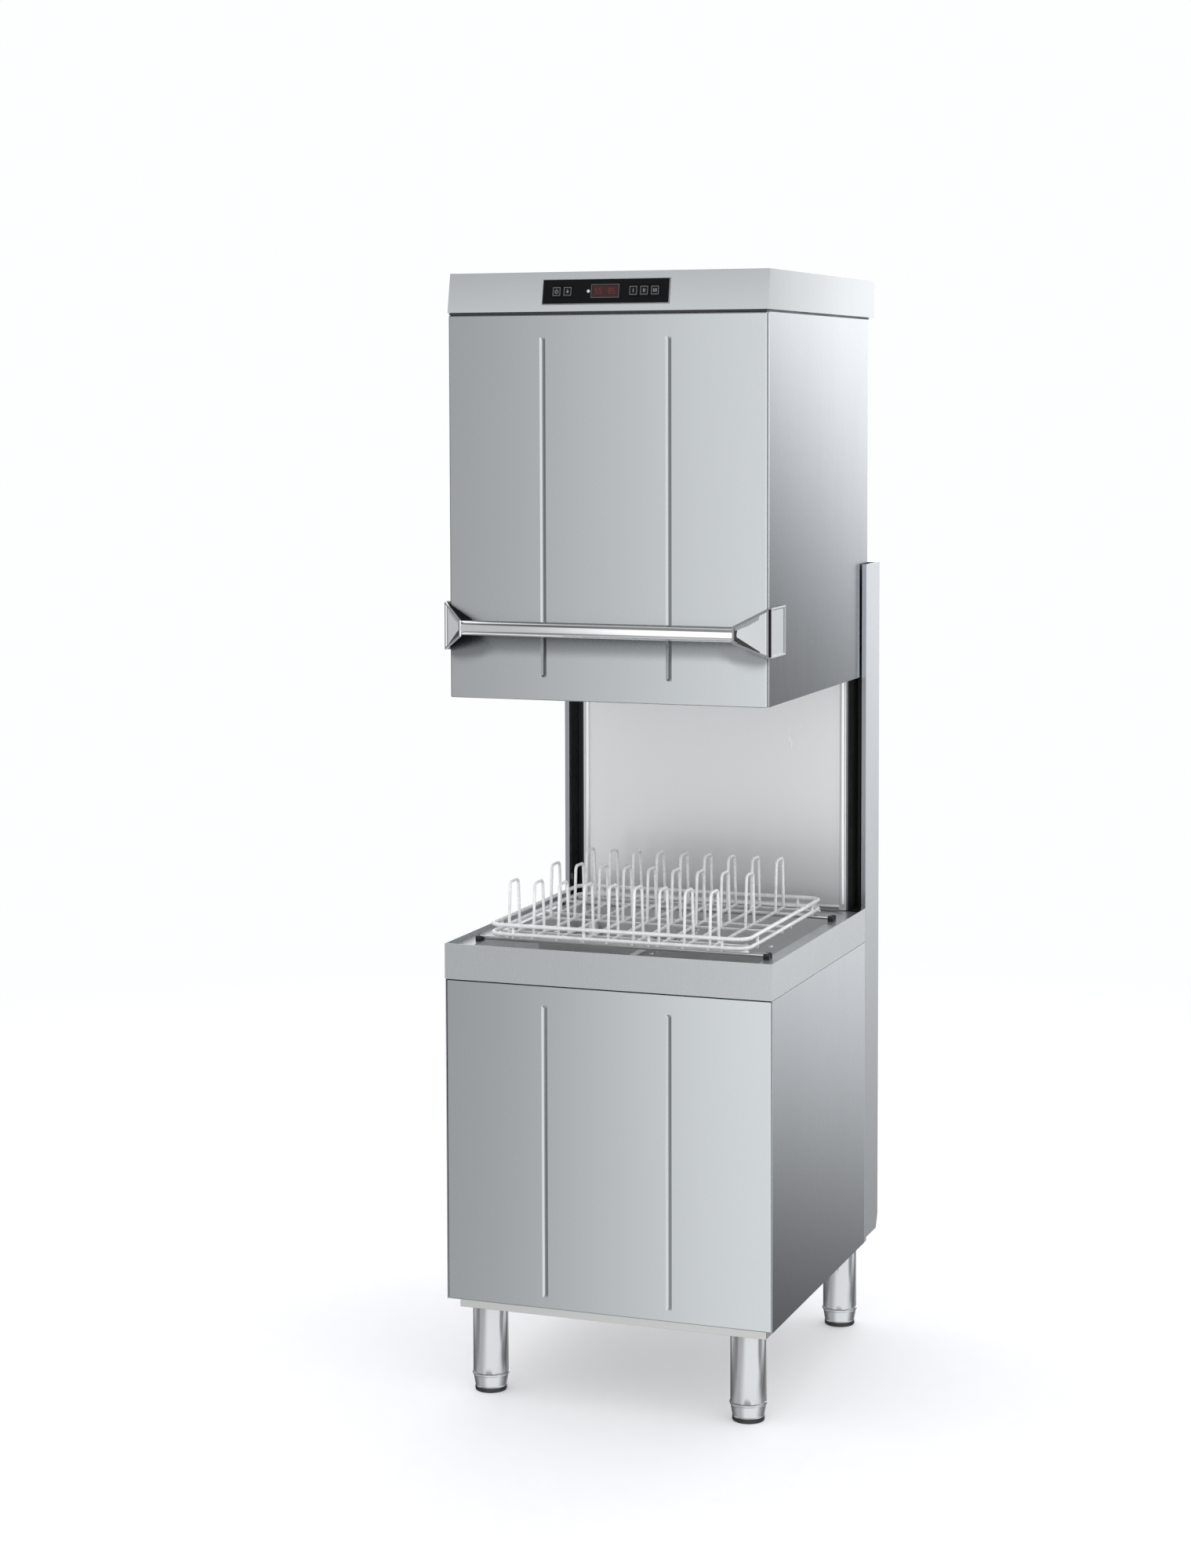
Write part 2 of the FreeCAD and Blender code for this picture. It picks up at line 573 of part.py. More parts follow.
def make_hood():
    front = tray("hood_front", "-hood_half", "hood_half", "hood_bottom", "hood_top", "hood_front", "fold")
    for sign in SIDES.values():
        add_groove(front, "%d * groove_place" % sign, "hood_front", "hood_bottom + groove_in_hood",
                   "hood_top - groove_in_hood")
    for side, sign in SIDES.items():
        body = new_body()
        profile = [("hood_half", "hood_bottom"), ("hood_half", "hood_top"),
                   ("hood_half - sheet_steel", "hood_top"),
                   ("hood_half - sheet_steel", "hood_bottom + sheet_steel"),
                   ("hood_half - hem", "hood_bottom + sheet_steel"), ("hood_half - hem", "hood_bottom")]
        pad(body, "y", "hood_front + fold + 0.1", "hood_rear",
            [("%d * (%s)" % (sign, across), up) for across, up in profile])
        part("hood_%s_side" % side, body)
    part("hood_top", block(("-hood_half + lid_inset", "hood_front + lid_inset", "hood_top"),
                           ("hood_half - lid_inset", "lid_rear", "cap_bottom")))


def fascia(height):
    """The Y of the leaning front of the control housing, at a height."""
    return "hood_front + (%s - cap_bottom) * cap_lean / (cap_top - cap_bottom)" % height


def leaning(low, high, proud, depth):
    """An outline parallel to the leaning front, from proud of it to depth behind it."""
    return [("%s - (%s)" % (fascia(low), proud), low), ("%s + %s" % (fascia(low), depth), low),
            ("%s + %s" % (fascia(high), depth), high), ("%s - (%s)" % (fascia(high), proud), high)]


def make_controls():
    cap = new_body()
    pad(cap, "x", "-cap_half", "cap_half",
        [("hood_front", "cap_bottom"), ("cap_rear", "cap_bottom"), ("cap_rear", "cap_top"),
         ("hood_front + cap_lean", "cap_top")])
    steel = "sheet_steel"
    pocket(cap, "x", "-cap_half + sheet_steel", "cap_half - sheet_steel",
           [(fascia("cap_bottom") + " + " + steel, "cap_bottom + " + steel),
            ("cap_rear - " + steel, "cap_bottom + " + steel), ("cap_rear - " + steel, "cap_top - " + steel),
            (fascia("cap_top") + " + " + steel, "cap_top - " + steel)])
    pocket(cap, "x", "-control_half + 6", "control_half - 6",
           leaning("control_low + 4", "control_high - 4", "2", "4"))
    part("control_housing", cap)

    panel = new_body()
    pad(panel, "x", "-control_half", "control_half",
        leaning("control_low", "control_high", "control_proud", "-0.05"))
    pad(panel, "x", "-control_half + control_edge", "control_half - control_edge",
        leaning("control_low + 5", "control_high - 5", "control_proud - 0.5", "control_depth"))
    hole = leaning("key_low - key_gap", "key_high + key_gap", "control_proud + 1", "control_depth + 1")
    for across in KEYS.values():
        pocket(panel, "x", "%s - key_width/2 - key_gap" % across, "%s + key_width/2 + key_gap" % across, hole)
    pocket(panel, "x", "display_left - display_gap", "display_right + display_gap", hole)
    part("control_panel", panel)
    angle = math.degrees(math.atan2(value("cap_lean"), value("cap_top - cap_bottom")))
    tilt = Rotation(Vector(1, 0, 0), 90 - angle)

    for name, across in KEYS.items():
        key = new_body()
        pad(key, "x", "%s - key_width/2" % across, "%s + key_width/2" % across,
            leaning("key_low", "key_high", "control_proud + key_proud", "control_depth - 1.5"))
        part("key_" + name, key)
    display = new_body()
    pad(display, "x", "display_left", "display_right",
        leaning("key_low", "key_high", "control_proud", "control_depth"))
    part("display", display)

    lamp = doc.addObject("Part::Cylinder", "Lamp")
    lamp.setExpression("Radius", bound("lamp_radius"))
    lamp.setExpression("Height", bound("lamp_deep"))
    lamp.Placement = Placement(place("lamp_place", fascia("lamp_height") + " - control_proud - 0.02",
                                     "lamp_height"), tilt)
    part("status_lamp", lamp)
    board_front = fascia("cap_top") + " + board_gap"
    part("control_board", block(("-control_half + 10", board_front, "control_low + 3"),
                                ("control_half - 10", board_front + " + board_deep", "control_high - 2")))


def make_handle():
    part("handle_bar", rod("x", ("-handle_half", "handle_reach", "handle_height"), "handle_radius",
                           "handle_half * 2"))
    brackets = []
    for sign in SIDES.values():
        body = new_body()
        near, far = mirror(sign, "hood_half + 0.1", "bracket_out")
        pad(body, "x", near, far,
            rectangle("hood_front - 2", "bracket_rear", "handle_height - bracket_half",
                      "handle_height + bracket_half"))
        loft = body.newObject("PartDesign::AdditiveLoft", "Arm")
        sections = []
        for across, front, rear, half in (
                ("bracket_out", "hood_front - bracket_root", "hood_front - 0.1", "bracket_half"),
                ("handle_half", "handle_reach - bracket_tip", "handle_reach + bracket_tip", "bracket_tip")):
            sketch = new_sketch(body, "x", "%d * %s" % (sign, across))
            add_outline(sketch, rectangle(front, rear, "handle_height - " + half, "handle_height + " + half))
            sections.append(sketch)
        loft.Profile = sections[0]
        loft.Sections = sections[1:]
        brackets.append(body)
    part("handle_brackets", group(*brackets))


# ---------------------------------------------------------------- rack and track

def ring(height, wire):
    """A rounded rectangle of wire round the rack."""
    corners = [place("-rack_half", "rack_front", height), place("rack_half", "rack_front", height),
               place("rack_half", "rack_rear", height), place("-rack_half", "rack_rear", height)]
    return swept(corners, value("rack_round"), value(wire), closed=True)


def straight(start, end, wire):
    return Part.makeCylinder(value(wire), (end - start).Length, start, end - start)


def uprights(across_places, along_places):
    """Short wires that tie the rack's low ring to its high one."""
    return [straight(place(across, along, "rack_low - rack_foot"), place(across, along, "rack_high"),
                     "floor_wire")
            for across in across_places for along in along_places]


def make_rack():
    wires = [ring("rack_high", "rail_wire"), ring("rack_low", "rail_wire")]
    columns = ["-rack_half + rack_first + %d * rack_pitch" % number for number in range(RACK_COLUMNS)]
    floor, foot = "rack_low - rack_floor", "rack_low - rack_foot"
    for across in columns:
        wires.append(straight(place(across, "rack_front", floor), place(across, "rack_rear", floor),
                              "floor_wire"))
    for along in ("rack_front + 8", "rack_front + 212", "rack_rear - 60"):
        near, far = along, "%s + prong_reach" % along
        for line in (near, far):
            wires.append(straight(place("-rack_half", line, foot), place("rack_half", line, foot),
                                  "floor_wire - 0.2"))
        for across in columns:
            points = [place(across, near, "rack_low - 3"),
                      place(across, near + " + prong_lean", "prong_top"),
                      place(across, far + " - prong_lean", "prong_top"),
                      place(across, far, "rack_low - 3")]
            wires.append(swept(points, value("prong_bend"), value("prong_wire")))
    wires += uprights(("-rack_half + 45", "rack_half - 45", "-60", "60"), ("rack_front", "rack_rear"))
    wires += uprights(("-rack_half", "rack_half"), ("rack_front + 60", "rack_rear - 60"))
    feature("crockery_rack", wires[0].multiFuse(wires[1:]).removeSplitter())


def make_track():
    """Two bars across the ledge that the rack slides on, each held in a guide at both ends."""
    bars = []
    guides = []
    for along in ("track_front", "track_rear"):
        bars.append(rod("x", ("-track_half + track_gap", along, "track_height"), "track_wire",
                        "(track_half - track_gap) * 2"))
        for sign in SIDES.values():
            near, far = mirror(sign, "ledge_half + 0.5", "track_half")
            hole = rod("x", ("-track_half + track_gap - 0.2", along, "track_height"),
                       "track_wire + 0.05", "(track_half - track_gap + 0.2) * 2")
            guides.append(cut(block((near, along + " - guide_half", "ledge_top"),
                                    (far, along + " + guide_half", "track_height + guide_rise")), hole))
    part("track_bars", group(*bars))
    part("track_feet", group(*guides))


# ---------------------------------------------------------------- spray arms

def make_arm(name, low, deep, half, flip):
    """A flat spray arm on a round hub: a long narrow outline that tapers to its tips."""
    body = new_body()
    tip = "%s * 0.6" % half
    outline = []
    for sign_along, sign_across in ((1, -1), (1, 1), (-1, 1), (-1, -1)):
        end = "%d * arm_reach" % sign_along
        side = "%d * %s" % (sign_across, tip)
        waist = "%d * %s" % (sign_across, half)
        points = [(end, side), ("0", waist)] if sign_along * sign_across > 0 else [(end, side)]
        outline += points
    if flip:
        outline = [(across, "centre_y + " + along) for across, along in outline]
    else:
        outline = [(along, "centre_y + " + across) for across, along in outline]
    high = "%s + %s" % (low, deep)
    pad(body, "z", low, high, outline)
    pad(body, "z", low + " - hub_proud", high + " + hub_proud", circles=[(("0", "centre_y"), "arm_hub")])
    pocket(body, "z", low + " - hub_proud - 1", high + " + hub_proud + 1",
           circles=[(("0", "centre_y"), "arm_bore")])
    return part(name, body)


def collar(low, widening, deep):
    """A ring on an arm post that holds an arm at its height."""
    return rod("z", (0, "centre_y", low), "post_radius + " + widening, deep)


def make_arms():
    make_arm("lower_wash_arm", "low_wash", "wash_deep", "wash_half", True)
    make_arm("lower_rinse_arm", "low_rinse", "rinse_deep", "rinse_half", False)
    make_arm("upper_wash_arm", "high_wash", "wash_deep", "wash_half", True)
    make_arm("upper_rinse_arm", "high_rinse", "rinse_deep", "rinse_half", False)
    low = fuse(rod("z", (0, "centre_y", "sump_bottom + 1.6"), "post_radius", "low_rinse + 14 - sump_bottom"),
               collar("low_wash - 12", "wide_collar", "collar_deep + 1"),
               collar("low_rinse + 12.5", "small_collar", "collar_deep"))
    high = fuse(rod("z", (0, "centre_y", "high_rinse - 8"), "post_radius",
                    "manifold - riser_radius - 1 - high_rinse + 8"),
                collar("high_rinse - 11", "small_collar", "collar_deep"),
                collar("high_wash + wash_deep + 3", "wide_collar", "collar_deep"))
    part("arm_posts", group(low, high))


# ---------------------------------------------------------------- pumps, boiler, pipes and boxes

def make_pump():
    """The wash pump: a round shell with its wheel inside, and the motor beside it."""
    axis = ("pump_front", "pump_height")
    shell = rod("x", ("pump_left", *axis), "pump_radius", "pump_deep")
    outlet = ("outlet_place", "pump_front", "pump_height + wheel_radius")
    mouth = rod("z", outlet, "riser_radius + outlet_wall", "outlet_top - pump_height - wheel_radius")
    room = rod("x", ("pump_left + pump_wall", *axis), "wheel_radius + pump_wall", "pump_deep - pump_wall * 2")
    bore = rod("x", ("pump_left + pump_wall + 4", *axis), "shaft_radius + shaft_gap", "pump_deep")
    eye = rod("x", ("pump_left - 1", *axis), "pump_eye", "pump_wall + 14")
    throat = rod("z", ("outlet_place", "pump_front", "pump_height + 40"), "riser_radius + 0.1", "pump_radius")
    part("wash_pump", cut(fuse(shell, mouth), room, bore, eye, throat))

    part("pump_motor", cut(rod("x", ("pump_left + pump_deep + 0.2", *axis), "motor_radius",
                               "motor_right - pump_left - pump_deep"),
                           rod("x", ("pump_left + pump_deep - 1", *axis), "shaft_radius + shaft_gap",
                               "motor_radius")))

    near = "wheel_left + wheel_deep"
    far = near + " + vane_deep"
    part("pump_impeller", fuse(rod("x", ("wheel_left", *axis), "wheel_radius", "wheel_deep"),
                               rod("x", ("wheel_left", *axis), "shaft_radius", "shaft_long"),
                               block((near, "pump_front - vane_half", "pump_height - vane_reach"),
                                     (far, "pump_front + vane_half", "pump_height + vane_reach")),
                               block((near, "pump_front - vane_reach", "pump_height - vane_half"),
                                     (far, "pump_front + vane_reach", "pump_height + vane_half"))))


def make_pipes():
    """Each pipe's corners, from its inlet to its outlet."""
    intake = "centre_y - 60"
    feature("suction_pipe", swept([place(0, intake, "sump_bottom - 0.2"), place(0, intake, 380),
                                   place(0, "pump_front", "pump_height"),
                                   place("pump_left - 0.2", "pump_front", "pump_height")],
                                  30, value("suction_radius")))
    feature("riser_pipe", swept([place("outlet_place", "pump_front", "outlet_top - 10"),
                                 place("outlet_place", "pump_front", 430),
                                 place("outlet_place", 60, 440), place(0, "riser_back", 440),
                                 place(0, "riser_back", "manifold"),
                                 place(0, "centre_y - 14", "manifold")],
                                28, value("riser_radius")))
    feature("rinse_pipe", swept([place("boiler_place", "boiler_back", "boiler_high + 0.2"),
                                 place("boiler_place", "boiler_back", 490),
                                 place("rinse_left", 250, 490), place("rinse_left", "riser_back", 560),
                                 place("rinse_left", "riser_back", "manifold"),
                                 place("rinse_left", 180, "manifold"),
                                 place(-24, "centre_y", "manifold")],
                                20, value("rinse_radius")))


def make_boxes():
    """The boiler, the box of switches and the two dosing pumps."""
    part("boiler", cut(rod("z", ("boiler_place", "boiler_back", "boiler_low"), "boiler_radius",
                           "boiler_high - boiler_low"),
                       rod("z", ("boiler_place", "boiler_back", "boiler_low + boiler_wall"),
                           "boiler_radius - boiler_wall", "boiler_high - boiler_low - boiler_wall * 2")))
    part("power_box", block(*POWER_BOX))
    dosers = []
    for left in DOSER_PLACES:
        rear = "doser_front + doser_deep"
        case = block((left, "doser_front", "doser_low"), ("%d + doser_width" % left, rear, "doser_high"))
        head = rod("y", ("%d + doser_width/2" % left, rear, "(doser_low + doser_high)/2"), "doser_head",
                   "doser_motor")
        dosers.append(fuse(case, head))
    part("dosing_pumps", group(*dosers))


# ---------------------------------------------------------------- fittings through the lower rear panel

def fitting(name, open_end):
    """A pipe end through the panel: a neck inside, a round shoulder on the panel and a spigot.
    Its bore goes right through when the end is open, and stops short inside the neck if not."""
    across, up = name + "_x", name + "_z"
    radius, bore, long = name + "_radius", name + "_bore", name + "_neck"
    outside = "low_wall + sheet_steel"
    start = "low_wall - " + long
    neck = rod("y", (across, start, up), radius + " - neck_step", long + " + sheet_steel + 1")
    shoulder = rod("y", (across, outside, up), radius + " + shoulder_proud", "shoulder_deep")
    spigot = rod("y", (across, outside + " + 1", up), radius, "spigot_end - low_wall - sheet_steel - 1")
    bore_start = start + (" - 10" if open_end else " + 8")
    return fuse(neck, shoulder, spigot), rod("y", (across, bore_start, up), bore, long + " + 60")


def make_fittings():
    inlet, inlet_bore = fitting("inlet", True)
    valve = block(("inlet_x - valve_half", "valve_front", "inlet_z - valve_tall"),
                  ("inlet_x + valve_half", "valve_rear", "inlet_z + valve_tall"))
    part("water_inlet", cut(fuse(inlet, valve), inlet_bore))
    drain, drain_bore = fitting("drain", False)
    part("drain_outlet", cut(drain, drain_bore))
    part("cable_gland", cut(fuse(rod("y", ("gland_x", "low_wall - 8", "gland_z"), "gland_radius",
                                     "gland_deep * 2"),
                                 rod("y", ("gland_x", "low_wall + sheet_steel", "gland_z"), "gland_nut",
                                     "gland_deep")),
                            rod("y", ("gland_x", "low_wall - 9", "gland_z"), "gland_bore", 60)))


# ---------------------------------------------------------------- build, test and write

make_base()
make_panels()
make_tub()
make_columns()
make_rear_walls()
make_struts()
make_hood()
make_controls()
make_handle()
make_rack()
make_track()
make_arms()
make_pump()
make_pipes()
make_boxes()
make_fittings()
doc.recompute()

for item in doc.Objects:
    if {"Invalid", "Error"} & set(item.State):
        raise RuntimeError("%s (%s) did not build: %s" % (item.Name, item.Label, item.State))
for item in parts:
    if item.Shape.isNull() or not item.Shape.isValid():
        raise RuntimeError("%s has no valid shape" % item.Label)

os.makedirs("parts", exist_ok=True)
for item in parts:
    item.Shape.exportStep("parts/%s.step" % item.Label)
print("%d sub-parts written" % len(parts))
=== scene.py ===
"""Looks of the pass-through dishwasher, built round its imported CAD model."""
import json
import math

import bmesh
import bpy
from mathutils import Matrix, Vector

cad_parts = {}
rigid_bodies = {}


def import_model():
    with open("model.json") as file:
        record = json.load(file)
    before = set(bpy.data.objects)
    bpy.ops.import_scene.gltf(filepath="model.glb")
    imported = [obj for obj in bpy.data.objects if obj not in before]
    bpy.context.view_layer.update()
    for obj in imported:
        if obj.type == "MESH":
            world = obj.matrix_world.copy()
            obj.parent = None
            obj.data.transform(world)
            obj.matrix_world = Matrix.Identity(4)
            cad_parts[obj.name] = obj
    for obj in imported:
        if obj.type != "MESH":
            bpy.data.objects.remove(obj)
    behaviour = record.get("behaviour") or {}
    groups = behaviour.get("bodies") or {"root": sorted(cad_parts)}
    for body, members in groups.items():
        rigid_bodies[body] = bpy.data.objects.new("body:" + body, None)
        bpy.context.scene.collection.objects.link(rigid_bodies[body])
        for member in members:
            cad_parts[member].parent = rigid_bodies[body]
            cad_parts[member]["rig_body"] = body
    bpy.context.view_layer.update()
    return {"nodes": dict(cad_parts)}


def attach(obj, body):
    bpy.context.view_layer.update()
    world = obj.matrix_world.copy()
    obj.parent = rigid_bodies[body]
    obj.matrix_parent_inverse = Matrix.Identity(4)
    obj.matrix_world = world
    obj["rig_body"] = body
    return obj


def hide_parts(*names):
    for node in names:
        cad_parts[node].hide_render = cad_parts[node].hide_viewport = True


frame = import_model()
nodes = frame["nodes"]


# ---------------------------------------------------------------- node helpers

class Tree:
    """A node material under construction: add() makes a node and returns its first output."""

    def __init__(self, name):
        self.material = bpy.data.materials.new(name)
        self.material.use_nodes = True
        self.tree = self.material.node_tree
        self.tree.nodes.clear()
        self.shader = self.tree.nodes.new("ShaderNodeBsdfPrincipled")
        output = self.tree.nodes.new("ShaderNodeOutputMaterial")
        self.tree.links.new(self.shader.outputs[0], output.inputs[0])
        self.place = self.add("TexCoord", out="Object")

    def add(self, kind, out=0, settings=None, **sockets):
        node = self.tree.nodes.new("ShaderNode" + kind)
        for key, value in (settings or {}).items():
            setattr(node, key, value)
        for key, value in sockets.items():
            self.give(node, key.replace("_", " "), value)
        return node.outputs[out]

    def give(self, node, key, value):
        socket = node.inputs[int(key)] if key.isdigit() else node.inputs[key]
        if isinstance(value, bpy.types.NodeSocket):
            self.tree.links.new(value, socket)
        else:
            socket.default_value = value

    def scaled(self, scale, turn=(0, 0, 0)):
        return self.add("Mapping", Vector=self.place, Scale=scale, Rotation=turn)

    def noise(self, scale, detail=2.0, size=1.0, rough=0.5):
        return self.add("TexNoise", Vector=self.scaled(scale), Scale=size, Detail=detail,
                        Roughness=rough)

    def math(self, how, first, second=0.0, third=0.0):
        node = self.tree.nodes.new("ShaderNodeMath")
        node.operation = how
        for number, value in enumerate((first, second, third)):
            self.give(node, str(number), value)
        return node.outputs[0]

    def spread(self, value, low, high):
        """Maps a noise value, which is mostly 0.3 to 0.7, on to low..high."""
        return self.add("MapRange", Value=value, From_Min=0.3, From_Max=0.7, To_Min=low, To_Max=high)

    def mix(self, share, first, second):
        node = self.tree.nodes.new("ShaderNodeMix")
        node.data_type = "RGBA"
        for number, value in ((0, share), (6, first), (7, second)):
            self.give(node, str(number), value)
        return node.outputs[2]

    def bump(self, height, distance, strength=1.0, normal=None):
        made = self.add("Bump", Height=height, Distance=distance, Strength=strength)
        if normal is not None:
            self.give(made.node, "Normal", normal)
        return made

    def leaning(self, slopes):
        """The surface's own normal, leaned towards each way by its slope times a distance."""
        total = self.add("NewGeometry", out="Normal")
        for way, axis, place, slope in slopes:
            along = self.add("SeparateXYZ", out="XYZ".index(axis), Vector=self.place)
            lean = self.math("MULTIPLY", self.math("SUBTRACT", along, place), slope)
            made = self.add("VectorMath", settings={"operation": "SCALE"}, Vector=way, Scale=lean)
            added = self.add("VectorMath", settings={"operation": "ADD"})
            self.give(added.node, "0", total)
            self.give(added.node, "1", made)
            total = added
        return self.add("VectorMath", settings={"operation": "NORMALIZE"}, Vector=total)

    def finish(self, **sockets):
        for key, value in sockets.items():
            self.give(self.shader, key.replace("_", " "), value)
        return self.material


def shade(colour, factor):
    return tuple(min(1.0, part * factor) for part in colour)


# ---------------------------------------------------------------- materials

def steel(name, colour, rough, grain, depth=0.0000005, contrast=0.004, smear=0.007, turn=None,
          metal=1.0, shadow=None):
    """Brushed stainless steel: fine grain along one direction, faint smears and a few hairlines.
    turn = ((way, axis, place, slope), ...) leans the surface towards way by slope times the distance
    from place along that axis, as a thin sheet's crown and twist do. shadow = (low, high) darkens the
    surface where something close in front keeps the light off: fully below low, not at all above high."""
    t = Tree(name)
    lines = t.noise(grain, detail=2.0)
    hair = t.noise(tuple(part * 2.7 for part in grain), detail=1.0)
    cloud = t.noise((2.2, 2.2, 3.1), detail=4.0)
    wipes = t.noise((9, 9, 2.5), detail=3.0, rough=0.6)
    tone = t.math("ADD", t.spread(lines, -contrast, contrast), t.spread(cloud, -0.010, 0.010))
    base = t.mix(t.math("ADD", tone, 0.5), (*shade(colour, 0.82), 1), (*shade(colour, 1.18), 1))
    if shadow:
        open_air = t.add("AmbientOcclusion", out="AO", settings={"samples": 48}, Distance=0.06)
        clear = t.add("MapRange", Value=open_air, From_Min=0.86, From_Max=0.95)
        up = t.add("SeparateXYZ", out=2, Vector=t.place)
        above = t.add("MapRange", Value=up, From_Min=shadow[0], From_Max=shadow[1])
        clear = t.math("MAXIMUM", clear, above)
        base = t.mix(clear, (*shade(colour, 0.5), 1), base)
    roughness = t.math("ADD", t.spread(lines, rough - 0.008, rough + 0.008),
                       t.spread(wipes, -smear, smear))
    height = t.math("ADD", lines, t.math("MULTIPLY", hair, 0.6))
    normal = t.bump(height, depth, 0.5)
    if turn:
        t.give(normal.node, "Normal", t.leaning(turn))
    return t.finish(Base_Color=base, Metallic=metal, Roughness=roughness, Normal=normal)


def polished(name, colour, rough):
    """Polished stainless steel with fingerprints and fine random scratches."""
    t = Tree(name)
    prints = t.noise((38, 38, 38), detail=5.0, rough=0.6)
    scratch = t.add("TexVoronoi", settings={"feature": "DISTANCE_TO_EDGE"},
                    Vector=t.scaled((90, 90, 260)), Scale=1.0)
    cut = t.add("MapRange", Value=scratch, From_Min=0.0, From_Max=0.02, To_Min=1.0, To_Max=0.0)
    base = t.mix(t.spread(prints, 0.0, 0.5), (*colour, 1), (*shade(colour, 0.9), 1))
    roughness = t.math("ADD", t.spread(prints, rough, rough + 0.08), t.math("MULTIPLY", cut, 0.08))
    return t.finish(Base_Color=base, Metallic=1.0, Roughness=roughness,
                    Normal=t.bump(t.math("MULTIPLY", cut, -1.0), 0.00001, 0.3))


def moulded(name, colour, rough, grain=900.0, depth=0.00008, gloss=0.5):
    """Moulded or painted surface: a fine pebble, a few dull patches and lighter rubbed spots."""
    t = Tree(name)
    pebble = t.noise((grain, grain, grain), detail=2.0)
    patch = t.noise((14, 14, 14), detail=4.0)
    rub = t.noise((60, 60, 25), detail=3.0, rough=0.65)
    base = t.mix(t.spread(patch, 0.1, 0.6), (*colour, 1), (*shade(colour, 1.35), 1))
    base = t.mix(t.add("MapRange", Value=rub, From_Min=0.58, From_Max=0.8, To_Min=0.0, To_Max=0.5),
                 base, (*shade(colour, 1.8), 1))
    roughness = t.math("ADD", t.spread(pebble, rough - 0.04, rough + 0.04), t.spread(patch, -0.05, 0.05))
    return t.finish(Base_Color=base, Roughness=roughness, Specular_IOR_Level=gloss,
                    Normal=t.bump(pebble, depth, 0.4))


def wire_coat(name):
    """Bright galvanised wire under a thin clear coat: faint spangle, and duller where it is rubbed."""
    t = Tree(name)
    spangle = t.add("TexVoronoi", out="Color", Vector=t.scaled((420, 420, 420)), Scale=1.0)
    wear = t.noise((45, 45, 45), detail=4.0)
    base = t.mix(0.05, (0.95, 0.955, 0.96, 1), spangle)
    base = t.mix(t.add("MapRange", Value=wear, From_Min=0.5, From_Max=0.75, To_Min=0.0, To_Max=0.6),
                 base, (0.72, 0.73, 0.73, 1))
    return t.finish(Base_Color=base, Metallic=0.15, Roughness=t.spread(wear, 0.22, 0.36),
                    Normal=t.bump(wear, 0.0001, 0.3))


def board(name):
    """Green circuit board: lacquer over copper tracks and pale pads."""
    t = Tree(name)
    tracks = t.add("TexBrick", settings={"offset": 0.5}, Vector=t.scaled((150, 150, 150)),
                   Color1=(0.01, 0.12, 0.05, 1), Color2=(0.012, 0.16, 0.07, 1),
                   Mortar=(0.05, 0.3, 0.12, 1), Scale=1.0, Mortar_Size=0.05)
    pads = t.add("TexVoronoi", Vector=t.scaled((260, 260, 260)), Scale=1.0)
    pad = t.add("MapRange", Value=pads, From_Min=0.12, From_Max=0.16, To_Min=1.0, To_Max=0.0)
    base = t.mix(pad, tracks, (0.6, 0.52, 0.3, 1))
    return t.finish(Base_Color=base, Metallic=t.math("MULTIPLY", pad, 0.8),
                    Roughness=t.spread(t.noise((80, 80, 80)), 0.3, 0.45),
                    Normal=t.bump(pad, 0.0002, 0.5))


def machined(name, colour, rough):
    """Turned metal: fine rings across Y, the axis of the fittings."""
    t = Tree(name)
    rings = t.noise((6, 2200, 6), detail=2.0)
    tarnish = t.noise((70, 70, 70), detail=5.0)
    base = t.mix(t.spread(tarnish, 0.0, 0.8), (*colour, 1), (*shade(colour, 0.6), 1))
    return t.finish(Base_Color=base, Metallic=1.0,
                    Roughness=t.math("ADD", t.spread(rings, rough, rough + 0.1), t.spread(tarnish, 0, 0.1)),
                    Normal=t.bump(rings, 0.00003, 0.5))


def glowing(name, colour, glow, strength):
    """A mark behind the panel's film that gives off light, slightly uneven. It serves the lamps and the
    display's lit figures, and gives the printed marks a faint painted glow.
    """
    t = Tree(name)
    grain = t.noise((900, 900, 900))
    base = t.mix(t.spread(grain, 0.0, 1.0), (*shade(colour, 0.85), 1), (*colour, 1))
    return t.finish(Base_Color=base, Roughness=t.spread(grain, 0.3, 0.42),
                    Normal=t.bump(grain, 0.00002, 0.3),
                    Emission_Color=(*glow, 1), Emission_Strength=strength)


def perforated(name):
    """Thin steel plate punched with rows of small round holes; the holes are painted near-black, as painted
    shade, with a bump round each.
    """
    t = Tree(name)
    cells = t.add("TexVoronoi", settings={"voronoi_dimensions": "2D"}, Vector=t.scaled((210, 210, 210)),
                  Scale=1.0, Randomness=0.0)
    hole = t.add("MapRange", Value=cells, From_Min=0.26, From_Max=0.32, To_Min=1.0, To_Max=0.0)
    stain = t.noise((12, 12, 12), detail=4.0)
    base = t.mix(t.spread(stain, 0.0, 1.0), (0.82, 0.83, 0.84, 1), (0.72, 0.73, 0.73, 1))
    # Painted shade: each hole is a near-black spot in the colour.
    return t.finish(Base_Color=t.mix(hole, base, (0.012, 0.012, 0.013, 1)),
                    Metallic=t.math("MULTIPLY_ADD", hole, -0.4, 0.4), Roughness=t.spread(stain, 0.3, 0.42),
                    Normal=t.bump(t.math("SUBTRACT", 1.0, hole), 0.0006, 0.6))


